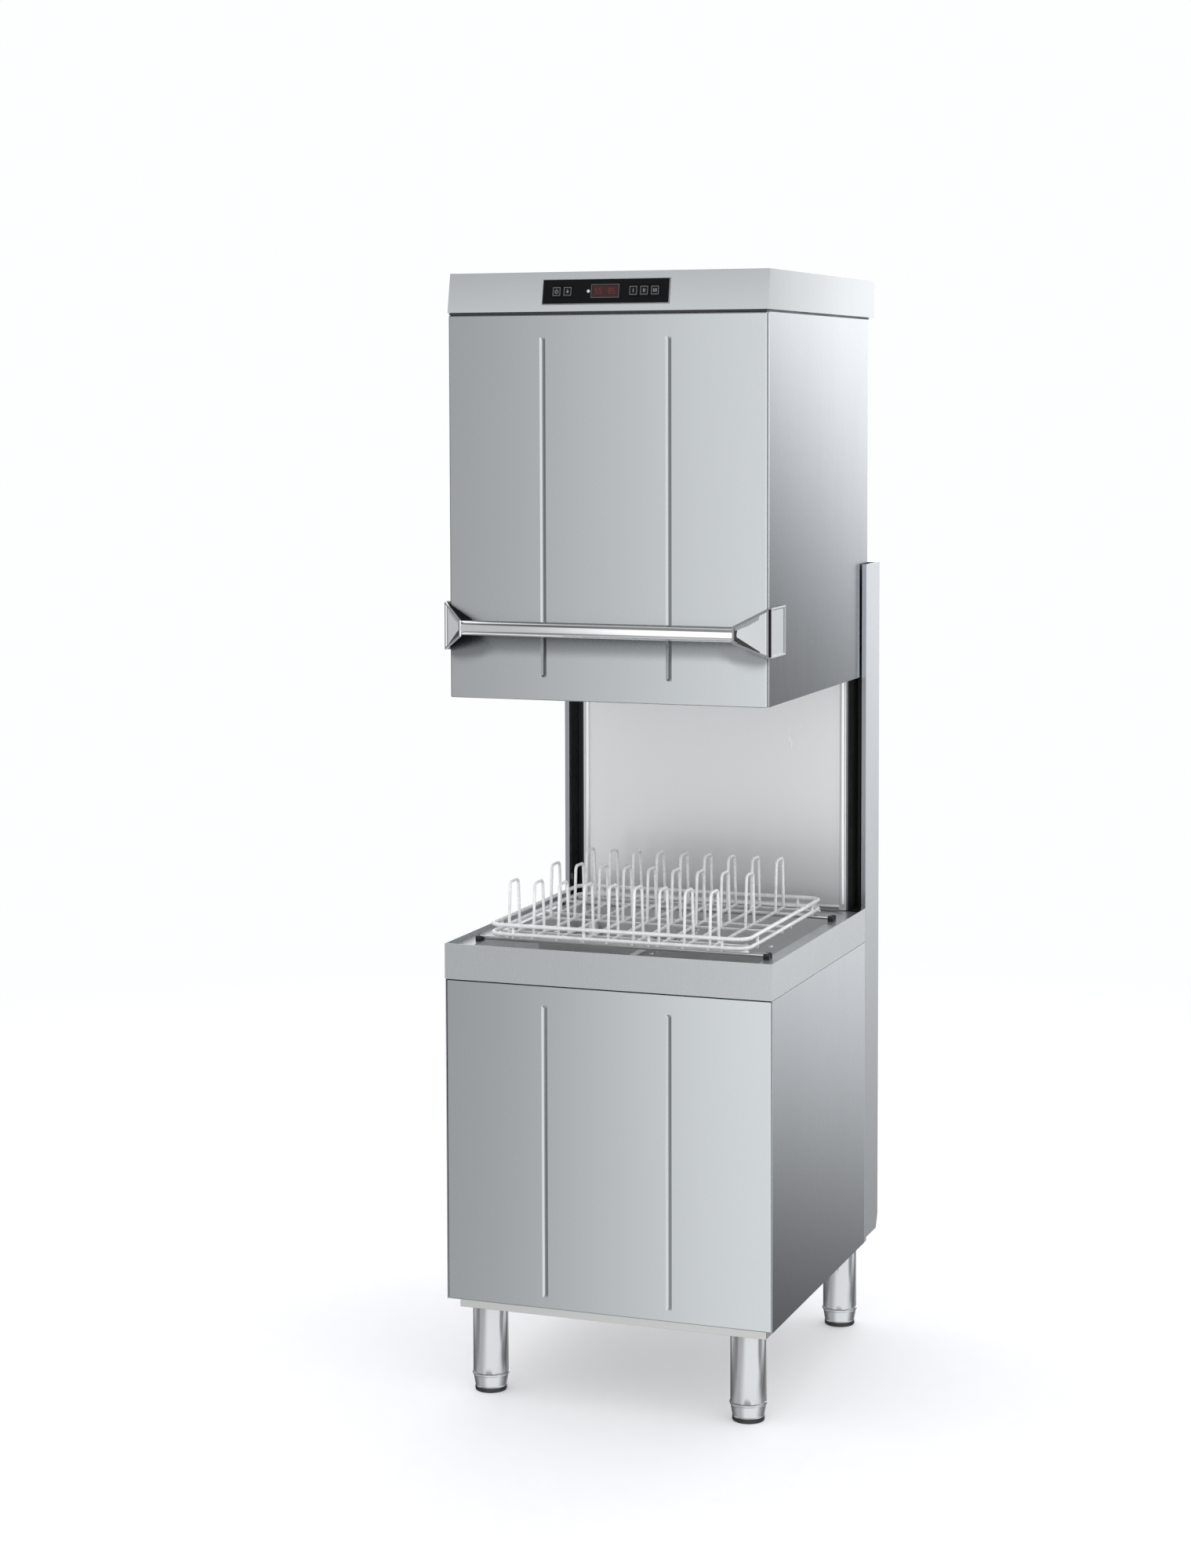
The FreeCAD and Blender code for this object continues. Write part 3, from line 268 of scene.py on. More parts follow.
STEEL = (0.527, 0.548, 0.563)
SIDE_STEEL = (0.522, 0.546, 0.580)
GRAIN = (2400, 2400, 30)            # upright brushing: fine across, long in Z
INNER_GRAIN = (1700, 1700, 34)
LEG_GRAIN = (40, 40, 2200)          # turned tube: rings round Z
FORWARD = (0, -1, 0)
SIDEWAYS = (1, 0, 0)
UPWARD = (0, 0, 1)
materials = {
    "brushed_steel": steel("brushed_steel", STEEL, 0.30, GRAIN),
    "inner_steel": steel("inner_steel", (0.62, 0.625, 0.62), 0.30, INNER_GRAIN),
    "polished_steel": polished("polished_steel", (0.90, 0.91, 0.915), 0.07),
    "black_plastic": moulded("black_plastic", (0.018, 0.018, 0.02), 0.45),
    "panel_black": moulded("panel_black", (0.0045, 0.005, 0.006), 0.42, grain=400.0, depth=0.00002,
                           gloss=0.08),
    "key_black": moulded("key_black", (0.006, 0.0065, 0.008), 0.45, grain=1500.0, depth=0.00003,
                         gloss=0.1),
    "display_red": moulded("display_red", (0.030, 0.006, 0.007), 0.30, grain=300.0, depth=0.00001,
                           gloss=0.3),
    "lamp": glowing("lamp", (0.5, 0.52, 0.5), (0.6, 0.62, 0.6), 0.25),
    "rack_wire": wire_coat("rack_wire"),
    "motor_paint": moulded("motor_paint", (0.09, 0.11, 0.14), 0.4, grain=500.0),
    "grey_plastic": moulded("grey_plastic", (0.27, 0.28, 0.29), 0.45),
    "brass": machined("brass", (0.72, 0.55, 0.25), 0.25),
    "board_green": board("board_green"),
}
# The crown of the large sheets, as leans for steel(): the middle height in metres, then the slope.
HOOD_LEAN = ((FORWARD, "Z", 1.87, -0.205), (FORWARD, "Y", 0, -0.08))
BASE_LEAN = ((FORWARD, "Z", 0.52, -0.26), (FORWARD, "Y", 0.06, -0.07))
UNDER_BAR = (1.352, 1.368)          # metres: the handle's bar shades the hood's front below this
hood_side = steel("hood_side_steel", SIDE_STEEL, 0.28, GRAIN, turn=HOOD_LEAN)
base_side = steel("side_panel_steel", SIDE_STEEL, 0.28, GRAIN, turn=BASE_LEAN)
# The columns are the sides' steel darkened by 0.9: painted shade.
column = steel("column_steel", shade(SIDE_STEEL, 0.9), 0.28, GRAIN, turn=((SIDEWAYS, "Y", 0, -0.6),))
special = {
    "hood_left_side": hood_side,
    "hood_right_side": hood_side,
    "left_side_panel": base_side,
    "right_side_panel": base_side,
    "left_column": column,
    "right_column": column,
    "control_housing": steel("housing_steel", STEEL, 0.28, GRAIN,
                             turn=((FORWARD, "Y", 0.12, -0.10), (SIDEWAYS, "Z", 1.975, -0.9))),
    "hood_front": steel("hood_front_steel", STEEL, 0.27, GRAIN,
                        turn=((SIDEWAYS, "X", 0, 0.33), (UPWARD, "Z", 2.9, -0.13), *HOOD_LEAN),
                        shadow=UNDER_BAR),
    "front_panel": steel("front_panel_steel", STEEL, 0.27, GRAIN,
                         turn=((SIDEWAYS, "X", 0, 0.42), *BASE_LEAN)),
    "tub_rim": steel("rim_steel", (0.525, 0.545, 0.56), 0.28, INNER_GRAIN, metal=0.7,
                     turn=((SIDEWAYS, "X", 0.33, 0.18), (FORWARD, "Y", 0.2, 0.06))),
    # The tub, the wall behind the rack and its rolled edges are the inner steel made lighter: painted light
    # against the shade inside the tub.
    "wash_tub": steel("tub_steel", (0.80, 0.81, 0.82), 0.36, INNER_GRAIN, metal=0.4),
    "back_panel": steel("back_steel", (0.77, 0.775, 0.78), 0.26, INNER_GRAIN, metal=0.5),
    "wall_edge": steel("wall_edge_steel", (0.88, 0.89, 0.90), 0.24, INNER_GRAIN, metal=0.5),
    # The brackets' face, side plate and rim are one steel at three levels: the plate's and the rim's darker
    # copies are painted shade.
    "bracket": steel("bracket_steel", (0.70, 0.72, 0.73), 0.22, GRAIN),
    "bracket_plate": steel("bracket_plate_steel", (0.42, 0.435, 0.445), 0.26, GRAIN),
    # Near-black: painted shade in the brackets' hollow, and the dark joint of the hood's corner seams.
    "hollow": moulded("hollow", (0.004, 0.004, 0.005), 0.6, gloss=0.06),
    "bracket_rim": steel("bracket_rim_steel", (0.27, 0.27, 0.285), 0.25, GRAIN),
    "legs": steel("leg_steel", (0.56, 0.57, 0.585), 0.10, LEG_GRAIN, metal=0.75),
    "tub_filters": perforated("punched_steel"),
    # Painted glow: the keys' printed marks and the display's printed surround give off a faint light of
    # their own.
    "mark": glowing("mark", (0.16, 0.16, 0.165), (0.5, 0.5, 0.52), 0.12),
    "faint_mark": glowing("faint_mark", (0.07, 0.07, 0.074), (0.4, 0.4, 0.42), 0.05),
    "digit": glowing("digit", (0.12, 0.016, 0.014), (1.0, 0.10, 0.06), 0.05),
}
special["strut_rods"] = materials["polished_steel"]
SHARP = math.radians(38)            # a sharper edge than this stays an edge and is bevelled
for corner in ("front_left", "front_right", "rear_left", "rear_right"):
    special["foot_" + corner] = special["legs"]
for name, node in nodes.items():
    slot = node.data.materials[0].name.split(".")[0]
    for index in range(len(node.data.materials)):
        node.data.materials[index] = special.get(name, materials[slot])
    weld = node.modifiers.new("Weld", "WELD")
    weld.merge_threshold = 0.00002
    if name == "crockery_rack":         # its wires get a coat; a bevel would throw spikes off them
        coat = node.modifiers.new("Coat", "DISPLACE")
        coat.strength = 0.0006
        coat.mid_level = 0
        continue
    bevel = node.modifiers.new("Bevel", "BEVEL")
    bevel.limit_method = "ANGLE"
    bevel.angle_limit = SHARP
    bevel.width = 0.0005
    bevel.segments = 2
    bevel.harden_normals = True


# ---------------------------------------------------------------- the CAD model's places, in millimetres

HOOD_HALF, HOOD_FRONT, HOOD_BOTTOM, HOOD_TOP = 288.5, -312, 1241, 1905
PANEL_HALF, PANEL_FRONT, PANEL_BOTTOM, PANEL_TOP = 298.4, -316, 173, 744
FOLD, BEND, THICK = 12, 3.2, 1.5            # of a folded sheet: flange, outer radius, steel
GROOVES = (-114, 114)
BAR_END, TIP_FRONT = 246, -370              # the bracket's tip: X of the bar's end, Y of its face
SLANT_RUN = 48.5                            # the bracket's slant runs this far in X and in Y
TIP_LOW, TIP_HIGH = 1353, 1381              # the bracket's height at the bar
BRACKET_LOW, BRACKET_HIGH = 1324.5, 1409.5  # and at the hood
BRACKET_REAR = -228
HOUSING_BOTTOM = 1909
LEDGE = 800                                 # the rim's top
TRACK_Y = (-235, 165)
LEG_X, LEG_Y = 240, {"front": -260, "rear": 318}
# The rear cover's outer face, and where the lower louvres start. Known fault: the lower panel's own
# face is at about 341.5, so the lower louvres stand 2.8 mm off it.
COVER_FACE, LOW_COVER_FACE = 368, 344.5


# ---------------------------------------------------------------- pieces: helpers, in millimetres

def body_of(node):
    return nodes[node]["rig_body"]


def make(name, rides_with, slot, build, stands_for=(), material=None, bevel=0.4, sheet=0.0):
    """A piece on the body of the node it rides with. build fills a mesh in millimetres.
    sheet is the thickness that an open surface gets, behind it."""
    mesh = bpy.data.meshes.new(name)
    work = bmesh.new()
    build(work)
    bmesh.ops.remove_doubles(work, verts=work.verts, dist=0.001)
    if not sheet:
        bmesh.ops.recalc_face_normals(work, faces=work.faces)
    bmesh.ops.scale(work, vec=(0.001, 0.001, 0.001), verts=work.verts)
    for face in work.faces:
        face.smooth = True
    work.to_mesh(mesh)
    work.free()
    mesh.set_sharp_from_angle(angle=SHARP)
    made = bpy.data.objects.new(name, mesh)
    bpy.context.scene.collection.objects.link(made)
    mesh.materials.append(material or materials[slot])
    if sheet:
        solid = made.modifiers.new("Sheet", "SOLIDIFY")
        solid.thickness = sheet / 1000
        solid.offset = -1
        weighted = made.modifiers.new("Weighted", "WEIGHTED_NORMAL")
        weighted.keep_sharp = True
    if bevel:
        edge = made.modifiers.new("Edge", "BEVEL")
        edge.limit_method = "ANGLE"
        edge.angle_limit = SHARP
        edge.width = bevel / 1000
        edge.segments = 2
        edge.harden_normals = True
    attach(made, body_of(rides_with))
    if stands_for:
        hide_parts(*stands_for)
    return made


def loft(work, sections, closed=True):
    """Skins a run of loops that have the same number of points, and caps both ends."""
    loops = [[work.verts.new(point) for point in section] for section in sections]
    for low, high in zip(loops, loops[1:]):
        for number in range(len(low)):
            following = (number + 1) % len(low)
            work.faces.new((low[number], low[following], high[following], high[number]))
    if closed:
        work.faces.new(list(reversed(loops[0])))
        work.faces.new(loops[-1])


def box(work, low, high):
    corners = [(low[0], low[1]), (high[0], low[1]), (high[0], high[1]), (low[0], high[1])]
    loft(work, [[(x, y, z) for x, y in corners] for z in (low[2], high[2])])


def lathe(work, centre, axis, profile, count=32, closed=True):
    """Turns (along, radius) points about the axis. A ring's profile ends where it starts, not closed."""
    rings = []
    for along, radius in profile:
        ring = []
        for step in range(count):
            angle = math.tau * step / count
            first, second = radius * math.cos(angle), radius * math.sin(angle)
            point = {"x": (along, first, second), "y": (second, along, first),
                     "z": (first, second, along)}[axis]
            ring.append(tuple(a + b for a, b in zip(centre, point)))
        rings.append(ring)
    loft(work, rings, closed)


def prism(work, outline, thick, place):
    """An outline of (across, up) points given a thickness; place turns (across, up, out) into X, Y, Z."""
    loft(work, [[place(across, up, out) for across, up in outline] for out in (0, thick)])


def offset(points, amount):
    """A closed outline of (across, up) points moved inwards by amount. It runs anticlockwise."""
    moved = []
    for number, point in enumerate(points):
        here = Vector(point)
        before = (here - Vector(points[number - 1])).normalized()
        after = (Vector(points[(number + 1) % len(points)]) - here).normalized()
        inward = Vector((-before.y - after.y, before.x + after.x))
        moved.append(tuple(here + inward * amount / (1 + before.dot(after))))
    return moved


def frame_ring(work, outline, width, thick, place):
    """A flat ring between an outline and the same one moved inwards."""
    inner = offset(outline, width)
    loops = [[place(*point, out) for point in line]
             for line, out in ((outline, 0), (outline, thick), (inner, thick), (inner, 0), (outline, 0))]
    loft(work, loops, closed=False)


def rect(left, right, low, high):
    return [(left, low), (right, low), (right, high), (left, high)]


# ---------------------------------------------------------------- pieces: folded sheets

GROOVE_DEPTH = 2.9
GROOVE_LEFT, LEFT_SLOPE = -5.2, 0.93        # the steep left flank: where it starts, and its slope
GROOVE_RIGHT, RIGHT_SLOPE = 5.4, 0.46       # the slow right flank
GROOVE_RUNOUT = 2.4                         # half the length over which a groove's end rises
ACROSS_GROOVE = (-5.6, -5.2, -4.8, -2.6, -2.1, -1.7, -0.9, -0.4, 2.0, 5.0, 5.4, 5.8)


def folded(work, half, low, high, front, groove_span):
    """A grooved sheet facing -Y whose four edges roll back on a bend and run on as flanges.
    Each row and column is (centre, angle of the bend, depth along the flange)."""
    def stations(start, end, inside):
        turns = [math.radians(angle) for angle in (90, 67.5, 45, 22.5, 0)]
        near = [(start + BEND, -turn, 0) for turn in turns]
        far = [(end - BEND, turn, 0) for turn in reversed(turns)]
        return ([(start + BEND, -math.pi / 2, FOLD - BEND)] + near + [(at, 0, 0) for at in inside]
                + far + [(end - BEND, math.pi / 2, FOLD - BEND)])

    columns = stations(-half, half, sorted(place + step for place in GROOVES for step in ACROSS_GROOVE))
    ends = [end + step * GROOVE_RUNOUT for end in groove_span for step in (-1, -0.5, 0, 0.5, 1)]
    middle = [low + (high - low) * share for share in (0.25, 0.5, 0.75)]
    rows = stations(low, high, sorted(ends + middle))

    def groove_depth(x, z):
        deep = 0.0
        for place in GROOVES:
            along = x - place
            deep = max(deep, min(GROOVE_DEPTH, (along - GROOVE_LEFT) * LEFT_SLOPE,
                                 (GROOVE_RIGHT - along) * RIGHT_SLOPE))
        edge = min(z - groove_span[0], groove_span[1] - z)
        return deep * min(1, max(0, (edge + GROOVE_RUNOUT) / (2 * GROOVE_RUNOUT)))

    grid = []
    for centre_z, up, deep_z in rows:
        line = []
        for centre_x, turn, deep_x in columns:
            if deep_x and deep_z:
                line.append(None)
                continue
            normal = Vector((math.sin(turn) * math.cos(up), -math.cos(turn) * math.cos(up), math.sin(up)))
            point = Vector((centre_x, front + BEND + deep_x + deep_z, centre_z)) + normal * BEND
            if turn == 0 and up == 0:
                point.y += groove_depth(point.x, point.z)
            line.append(work.verts.new(point))
        grid.append(line)
    for below, above in zip(grid, grid[1:]):
        for number in range(len(below) - 1):
            corners = (below[number], below[number + 1], above[number + 1], above[number])
            if all(corners) and len({tuple(corner.co) for corner in corners}) == 4:
                work.faces.new(corners)


make("hood_front_sheet", "hood_front", "brushed_steel",
     lambda work: folded(work, HOOD_HALF, HOOD_BOTTOM, HOOD_TOP, HOOD_FRONT, (1283, 1863)),
     stands_for=["hood_front"], material=special["hood_front"], bevel=0, sheet=THICK)
make("front_panel_sheet", "front_panel", "brushed_steel",
     lambda work: folded(work, PANEL_HALF, PANEL_BOTTOM, PANEL_TOP, PANEL_FRONT, (196, 707)),
     stands_for=["front_panel"], material=special["front_panel"], bevel=0, sheet=THICK)


# ---------------------------------------------------------------- pieces: the handle's brackets

SLANT = math.hypot(SLANT_RUN, SLANT_RUN)
OUTWARD = 0.7071                            # of the slant's normal, in X and in -Y


def on_slant(sign):
    """Places (across from the bar's end, height, out) on the bracket's slanting front."""
    def place(across, up, out):
        along = SLANT_RUN * (across / SLANT)
        return (sign * (BAR_END + along + OUTWARD * out), TIP_FRONT + along - OUTWARD * out, up)
    return place


def bracket_face(sign):
    """The slanting face: a trapezoid plate with a shallow tray pressed into it."""
    place = on_slant(sign)
    outline = [(0, TIP_LOW), (SLANT, BRACKET_LOW), (SLANT, BRACKET_HIGH), (0, TIP_HIGH)]
    rim, floor = offset(outline, 3.4), offset(outline, 4.4)

    def build(work):
        loft(work, [[place(*point, out) for point in line]
                    for line, out in ((outline, -3.2), (outline, 0), (rim, 0), (floor, -2.2))])
    return build


def bracket_gap(sign):
    """Painted shade round the bar's end, as black shapes for the dark gap there: an upright slot, and one
    that thins out along the bottom.
    """
    place = on_slant(sign)
    upright_slot = [(3.6, 1357.6), (11.0, 1355.2), (8.6, 1367), (11.0, 1378.8), (3.6, 1376.4)]
    lower_slot = [(3.6, 1357.6), (52, 1334.6), (53, 1337.0), (30, 1351.0), (11.0, 1362.6)]

    def build(work):
        for outline in (upright_slot, lower_slot):
            loft(work, [[place(*point, out) for point in outline] for out in (-2.6, -1.5)])
    return build


def bracket_band(sign):
    """A grey strip along the top of the tray: painted shade for the step there."""
    place = on_slant(sign)

    def build(work):
        outline = [(6, 1374), (30, 1381.5), (50, 1391), (52, 1398.5), (30, 1389.4), (6, 1379.2)]
        loft(work, [[place(*point, out) for point in outline] for out in (-2.6, -1.3)])
    return build


def bracket_side(sign):
    """The plate on the hood's side, with a tray of its own."""
    def place(across, up, out):
        return (sign * (289 + out), across, up)

    outline = rect(-310.5, BRACKET_REAR, BRACKET_LOW, BRACKET_HIGH)
    rim, floor = offset(outline, 3.5), offset(outline, 4.5)

    def build(work):
        loft(work, [[place(*point, out) for point in line]
                    for line, out in ((outline, 0), (outline, 7), (rim, 7), (floor, 5.6))])
    return build


def bracket_rim(sign):
    """The raised border round the slanting face's tray, in a darker copy of the bracket's steel: painted
    shade.
    """
    outline = [(0.4, 1353.2), (SLANT - 0.4, 1325.1), (SLANT - 0.4, 1408.9), (0.4, 1380.8)]
    return lambda work: frame_ring(work, outline, 2.8, 0.4, on_slant(sign))


def bracket_core(sign):
    """A near-black block between the plates, lower than their edges: painted shade for the hollow inside the
    bracket.
    """
    back = HOOD_FRONT - 0.5

    def section(x, front, low, high):
        return [(sign * x, front, low), (sign * x, back, low), (sign * x, back, high),
                (sign * x, front, high)]

    def build(work):
        loft(work, [section(248, -362, 1356, 1379.5), section(286, -324, 1334, 1402.5),
                    section(291, -319, 1330, 1405.5)])
        left, right = sorted((sign * 292.4, sign * 294.8))
        box(work, (left, -317.2, 1327), (right, -309, 1407))
    return build


# The side plate and the rim are darker copies of the face's steel, and the core, gap and band are dark
# shapes: all painted shade.
for side, sign in (("left", -1), ("right", 1)):
    make("bracket_face_" + side, "handle_brackets", "polished_steel", bracket_face(sign),
         stands_for=["handle_brackets"], material=special["bracket"], bevel=0.7)
    for part, builder, slot, look in (("side", bracket_side, "polished_steel", special["bracket_plate"]),
                                      ("rim", bracket_rim, "polished_steel", special["bracket_rim"]),
                                      ("core", bracket_core, "black_plastic", special["hollow"]),
                                      ("gap", bracket_gap, "black_plastic", None),
                                      ("band", bracket_band, "grey_plastic", None)):
        make("bracket_%s_%s" % (part, side), "handle_brackets", slot, builder(sign), material=look,
             bevel=0.5 if part == "side" else 0)


# ---------------------------------------------------------------- pieces: marks on the control panel

LEAN = math.atan2(13.2, 68)                 # the housing's front leans back 13.2 over 68


def on_fascia(proud):
    """Places (across, height along Z, out) on the leaning front, proud of the housing by proud."""
    def place(across, up, out):
        surface = HOOD_FRONT + (up - HOUSING_BOTTOM) * math.tan(LEAN)
        rise = proud + out
        return (across, surface - rise * math.cos(LEAN), up + rise * math.sin(LEAN))
    return place


KEY_PLACE = on_fascia(2.08)
PANEL_PLACE = on_fascia(1.48)
MARK = 0.14                                 # how far a printed mark stands out
KEY_HEIGHT = 1943                           # of the keys' middle


def key_marks(across, glyph):
    """A key's square outline with its glyph inside."""
    def build(work):
        frame_ring(work, rect(across - 6.6, across + 6.6, KEY_HEIGHT - 7, KEY_HEIGHT + 7), 0.7, MARK,
                   KEY_PLACE)
        glyph(work, across, KEY_HEIGHT)
    return build


def bars(count):
    """A generic mark: one to three short upright bars."""
    def glyph(work, across, up):
        for number in range(count):
            left = across - 1.3 * count + 2.6 * number + 0.6
            prism(work, rect(left, left + 1.4, up - 3, up + 3), MARK, KEY_PLACE)
    return glyph


def power_glyph(work, across, up):
    """A broken ring with an upright bar."""
    arc = [math.radians(angle) for angle in range(125, 416, 24)]
    outer = [(across + 3.4 * math.cos(a), up - 0.4 + 3.4 * math.sin(a)) for a in arc]
    inner = [(across + 2.4 * math.cos(a), up - 0.4 + 2.4 * math.sin(a)) for a in reversed(arc)]
    for number in range(len(arc) - 1):
        last = len(inner) - 1 - number
        prism(work, [outer[number], outer[number + 1], inner[last - 1], inner[last]], MARK, KEY_PLACE)
    prism(work, rect(across - 0.5, across + 0.5, up - 0.5, up + 4.2), MARK, KEY_PLACE)


def drain_glyph(work, across, up):
    """An arrow that points down."""
    prism(work, rect(across - 0.5, across + 0.5, up - 0.5, up + 3.8), MARK, KEY_PLACE)
    prism(work, [(across, up - 3.4), (across + 2.8, up + 0.2), (across - 2.8, up + 0.2)], MARK, KEY_PLACE)


# The keys' printed marks give off a faint painted glow.
for key, across, glyph in (("power", -89, power_glyph), ("drain", -69, drain_glyph),
                           ("short", 50, bars(1)), ("medium", 69.5, bars(2)), ("long", 89, bars(3))):
    make("mark_" + key, "key_" + key, "lamp", key_marks(across, glyph), material=special["mark"],
         bevel=0)

# A figure's bars: left, right, low and high from the figure's lower left corner.
SEGMENTS = {"top": (0.6, 4.4, 9.2, 10), "middle": (0.6, 4.4, 4.6, 5.4), "bottom": (0.6, 4.4, 0, 0.8),
            "high_left": (0, 0.8, 5.4, 9.4), "high_right": (4.2, 5, 5.4, 9.4),
            "low_left": (0, 0.8, 0.6, 4.6), "low_right": (4.2, 5, 0.6, 4.6)}
DIGITS = {"5": ("top", "high_left", "middle", "low_right", "bottom"),
          "8": tuple(SEGMENTS)}


def digits(work):
    """Two pairs of generic figures behind the display's glass."""
    glass = on_fascia(1.46)
    foot = 1938
    for left, number in ((-19, "5"), (-12, "5"), (5, "8"), (12, "5")):
        for name in DIGITS[number]:
            x0, x1, z0, z1 = SEGMENTS[name]
            prism(work, rect(left + x0, left + x1, foot + z0, foot + z1), MARK, glass)


make("display_digits", "display", "display_red", digits, material=special["digit"], bevel=0)
# The display's printed surround gives off a faint painted glow.
make("display_surround", "control_panel", "lamp",
     lambda work: frame_ring(work, rect(-26.4, 24.4, 1931.4, 1954.6), 1.1, 0.3, PANEL_PLACE),
     material=special["faint_mark"], bevel=0)
make("panel_surround", "control_panel", "grey_plastic",
     lambda work: frame_ring(work, rect(-115.2, 115.2, 1920.8, 1964.2), 1.0, 0.5, on_fascia(1.2)),
     bevel=0)


# ---------------------------------------------------------------- pieces: seams, painted gap shade and guides

def upright(work, low, high, outlines):
    """Upright bars: each outline of (x, y) points from low to high."""
    for outline in outlines:
        loft(work, [[(x, y, z) for x, y in outline] for z in (low, high)])


def seal(work):
    """A black ring under the control housing, set back a little from its sides: painted shade for the gap
    between the housing and the hood.
    """
    outer = [(-287.6, -310.4), (287.6, -310.4), (287.6, 333), (-287.6, 333)]
    inner = offset(outer, 4)
    loops = [[(x, y, z) for x, y in line]
             for line, z in ((outer, 1905.3), (outer, 1908.7), (inner, 1908.7), (inner, 1905.3),
                             (outer, 1905.3))]
    loft(work, loops, closed=False)


# Painted shade: a black ring in the gap under the housing.
make("housing_gap_shade", "hood_top", "black_plastic", seal, bevel=0)


def rolled_edges(work):
    """The rolled upright edges of the wall behind the rack."""
    for sign in (-1, 1):
        arc = [math.radians(angle) for angle in range(180, 361, 15)]
        outline = [(sign * 254.5 + 5 * math.cos(a), 277.8 + 4.4 * math.sin(a)) for a in arc]
        upright(work, 813, 1448, [outline])


def cove(work):
    """The curved fillet between the ledge and the wall behind the rack."""
    arc = [math.radians(angle) for angle in range(270, 361, 15)]
    outline = [(278, 800.2)] + [(266 + 11.5 * math.cos(a), 812 + 11.5 * math.sin(a)) for a in arc]
    loft(work, [[(x, y, z) for y, z in outline] for x in (-249, 249)])


# The rolled edges are a lighter copy of the inner steel: painted light.
make("wall_edges", "back_panel", "inner_steel", rolled_edges, material=special["wall_edge"], bevel=0)
make("wall_cove", "back_panel", "inner_steel", cove, bevel=0)


def slot_feet(work):
    """The dark pad at the foot of each slot, under the lowered hood and in front of the strut's rod."""
    for sign in (-1, 1):
        left, right = sorted((sign * 264, sign * 296))
        box(work, (left, 290, LEDGE + 0.2), (right, 328, LEDGE + 1.5))


def slot_tabs(work):
    """The bright tab low in the slot, outside the hood's path."""
    for sign in (-1, 1):
        left, right = sorted((sign * 290, sign * 298.2))
        box(work, (left, 288, 829), (right, 291, 841))


def corner_seams(work):
    """The seam between the hood's front and its sides."""
    for sign in (-1, 1):
        left, right = sorted((sign * 288.3, sign * 288.8))
        box(work, (left, -308.4, 1244), (right, -306.2, 1903))


make("corner_seams", "hood_front", "black_plastic", corner_seams, material=special["hollow"], bevel=0)
make("slot_feet", "slot_liners", "black_plastic", slot_feet, bevel=0)
make("slot_tabs", "slot_liners", "inner_steel", slot_tabs, bevel=0.6)


def guides(work):
    """Two-lobed plastic guides that cradle the track's bars."""
    for along in TRACK_Y:
        for sign in (-1, 1):
            left, right = sorted((sign * 261, sign * 272))
            box(work, (left, along - 9, LEDGE), (right, along + 9, LEDGE + 3.5))
            for lobe in (-6.4, 6.4):
                lathe(work, (0, along + lobe, LEDGE + 6.2), "x",
                      [(left, 3.4), (left + 0.8, 4.4), (right - 0.8, 4.4), (right, 3.4)], 20)


make("track_guides", "track_feet", "black_plastic", guides, stands_for=["track_feet"], bevel=0)


# ---------------------------------------------------------------- pieces: feet, screws, vents, nozzles

def foot_sole(x, y):
    """The rubber sole that the foot stands on."""
    return lambda work: lathe(work, (x, y, 0), "z", [(0, 24), (0.6, 27.6), (3, 28.4), (7, 28.2), (8.2, 27)])


def leg_rings(work):
    """The bead round the lower end of each leg. It is open, as the foot's stud runs through it."""
    for x in (-LEG_X, LEG_X):
        for y in LEG_Y.values():
            lathe(work, (x, y, 0), "z", [(29.9, 30), (29.9, 32.4), (31, 33), (33.4, 33), (34.4, 32.2),
                                         (34.4, 30), (29.9, 30)], 48, False)


for along, y in LEG_Y.items():
    for side, x in (("left", -LEG_X), ("right", LEG_X)):
        make("sole_%s_%s" % (along, side), "foot_%s_%s" % (along, side), "black_plastic",
             foot_sole(x, y), bevel=0)
make("leg_rings", "legs", "brushed_steel", leg_rings, material=special["legs"], bevel=0)


def screw_heads(work):
    """Domed heads with a round socket."""
    for x in (-245, 245):
        for z in (770, 1100, 1430):
            lathe(work, (x, COVER_FACE, z), "y",
                  [(0, 4.6), (0.9, 4.4), (1.6, 3.4), (1.8, 2.2), (1.7, 1.8), (0.7, 1.6)], 24)


make("screw_heads", "cover_screws", "polished_steel", screw_heads, stands_for=["cover_screws"], bevel=0)


def louvres(count, first, face):
    """A small hood over each vent slot, open towards the floor."""
    def build(work):
        for number in range(count):
            low = first + 22 * number
            outline = [(face - 0.2, low + 7.4), (face + 1.0, low + 7.4), (face + 3.6, low + 1.2),
                       (face + 2.8, low + 0.9), (face - 0.2, low + 6.2)]
            loft(work, [[(x, y, z) for y, z in outline] for x in (-73, 73)])
    return build


make("upper_louvres", "rear_cover", "brushed_steel", louvres(6, 1240, COVER_FACE), bevel=0.2)
make("lower_louvres", "lower_rear_panel", "brushed_steel", louvres(8, 470, LOW_COVER_FACE), bevel=0.2)


def nozzles(along_y, surface, way, reaches, width):
    """Short cones in a row, off its middle line by turns. The row runs along Y or along X."""
    def build(work):
        for number, reach in enumerate(reaches):
            for sign in (-1, 1):
                aside = width if number % 2 else -width
                x, y = (aside, sign * reach) if along_y else (sign * reach, aside)
                lathe(work, (x, y - 20, surface), "z",
                      [(way * at, radius) for at, radius in ((-0.3, 4.6), (0.8, 4.4), (2.6, 2.6), (2.6, 1.3),
                                                             (1.4, 1.1))], 16)
    return build


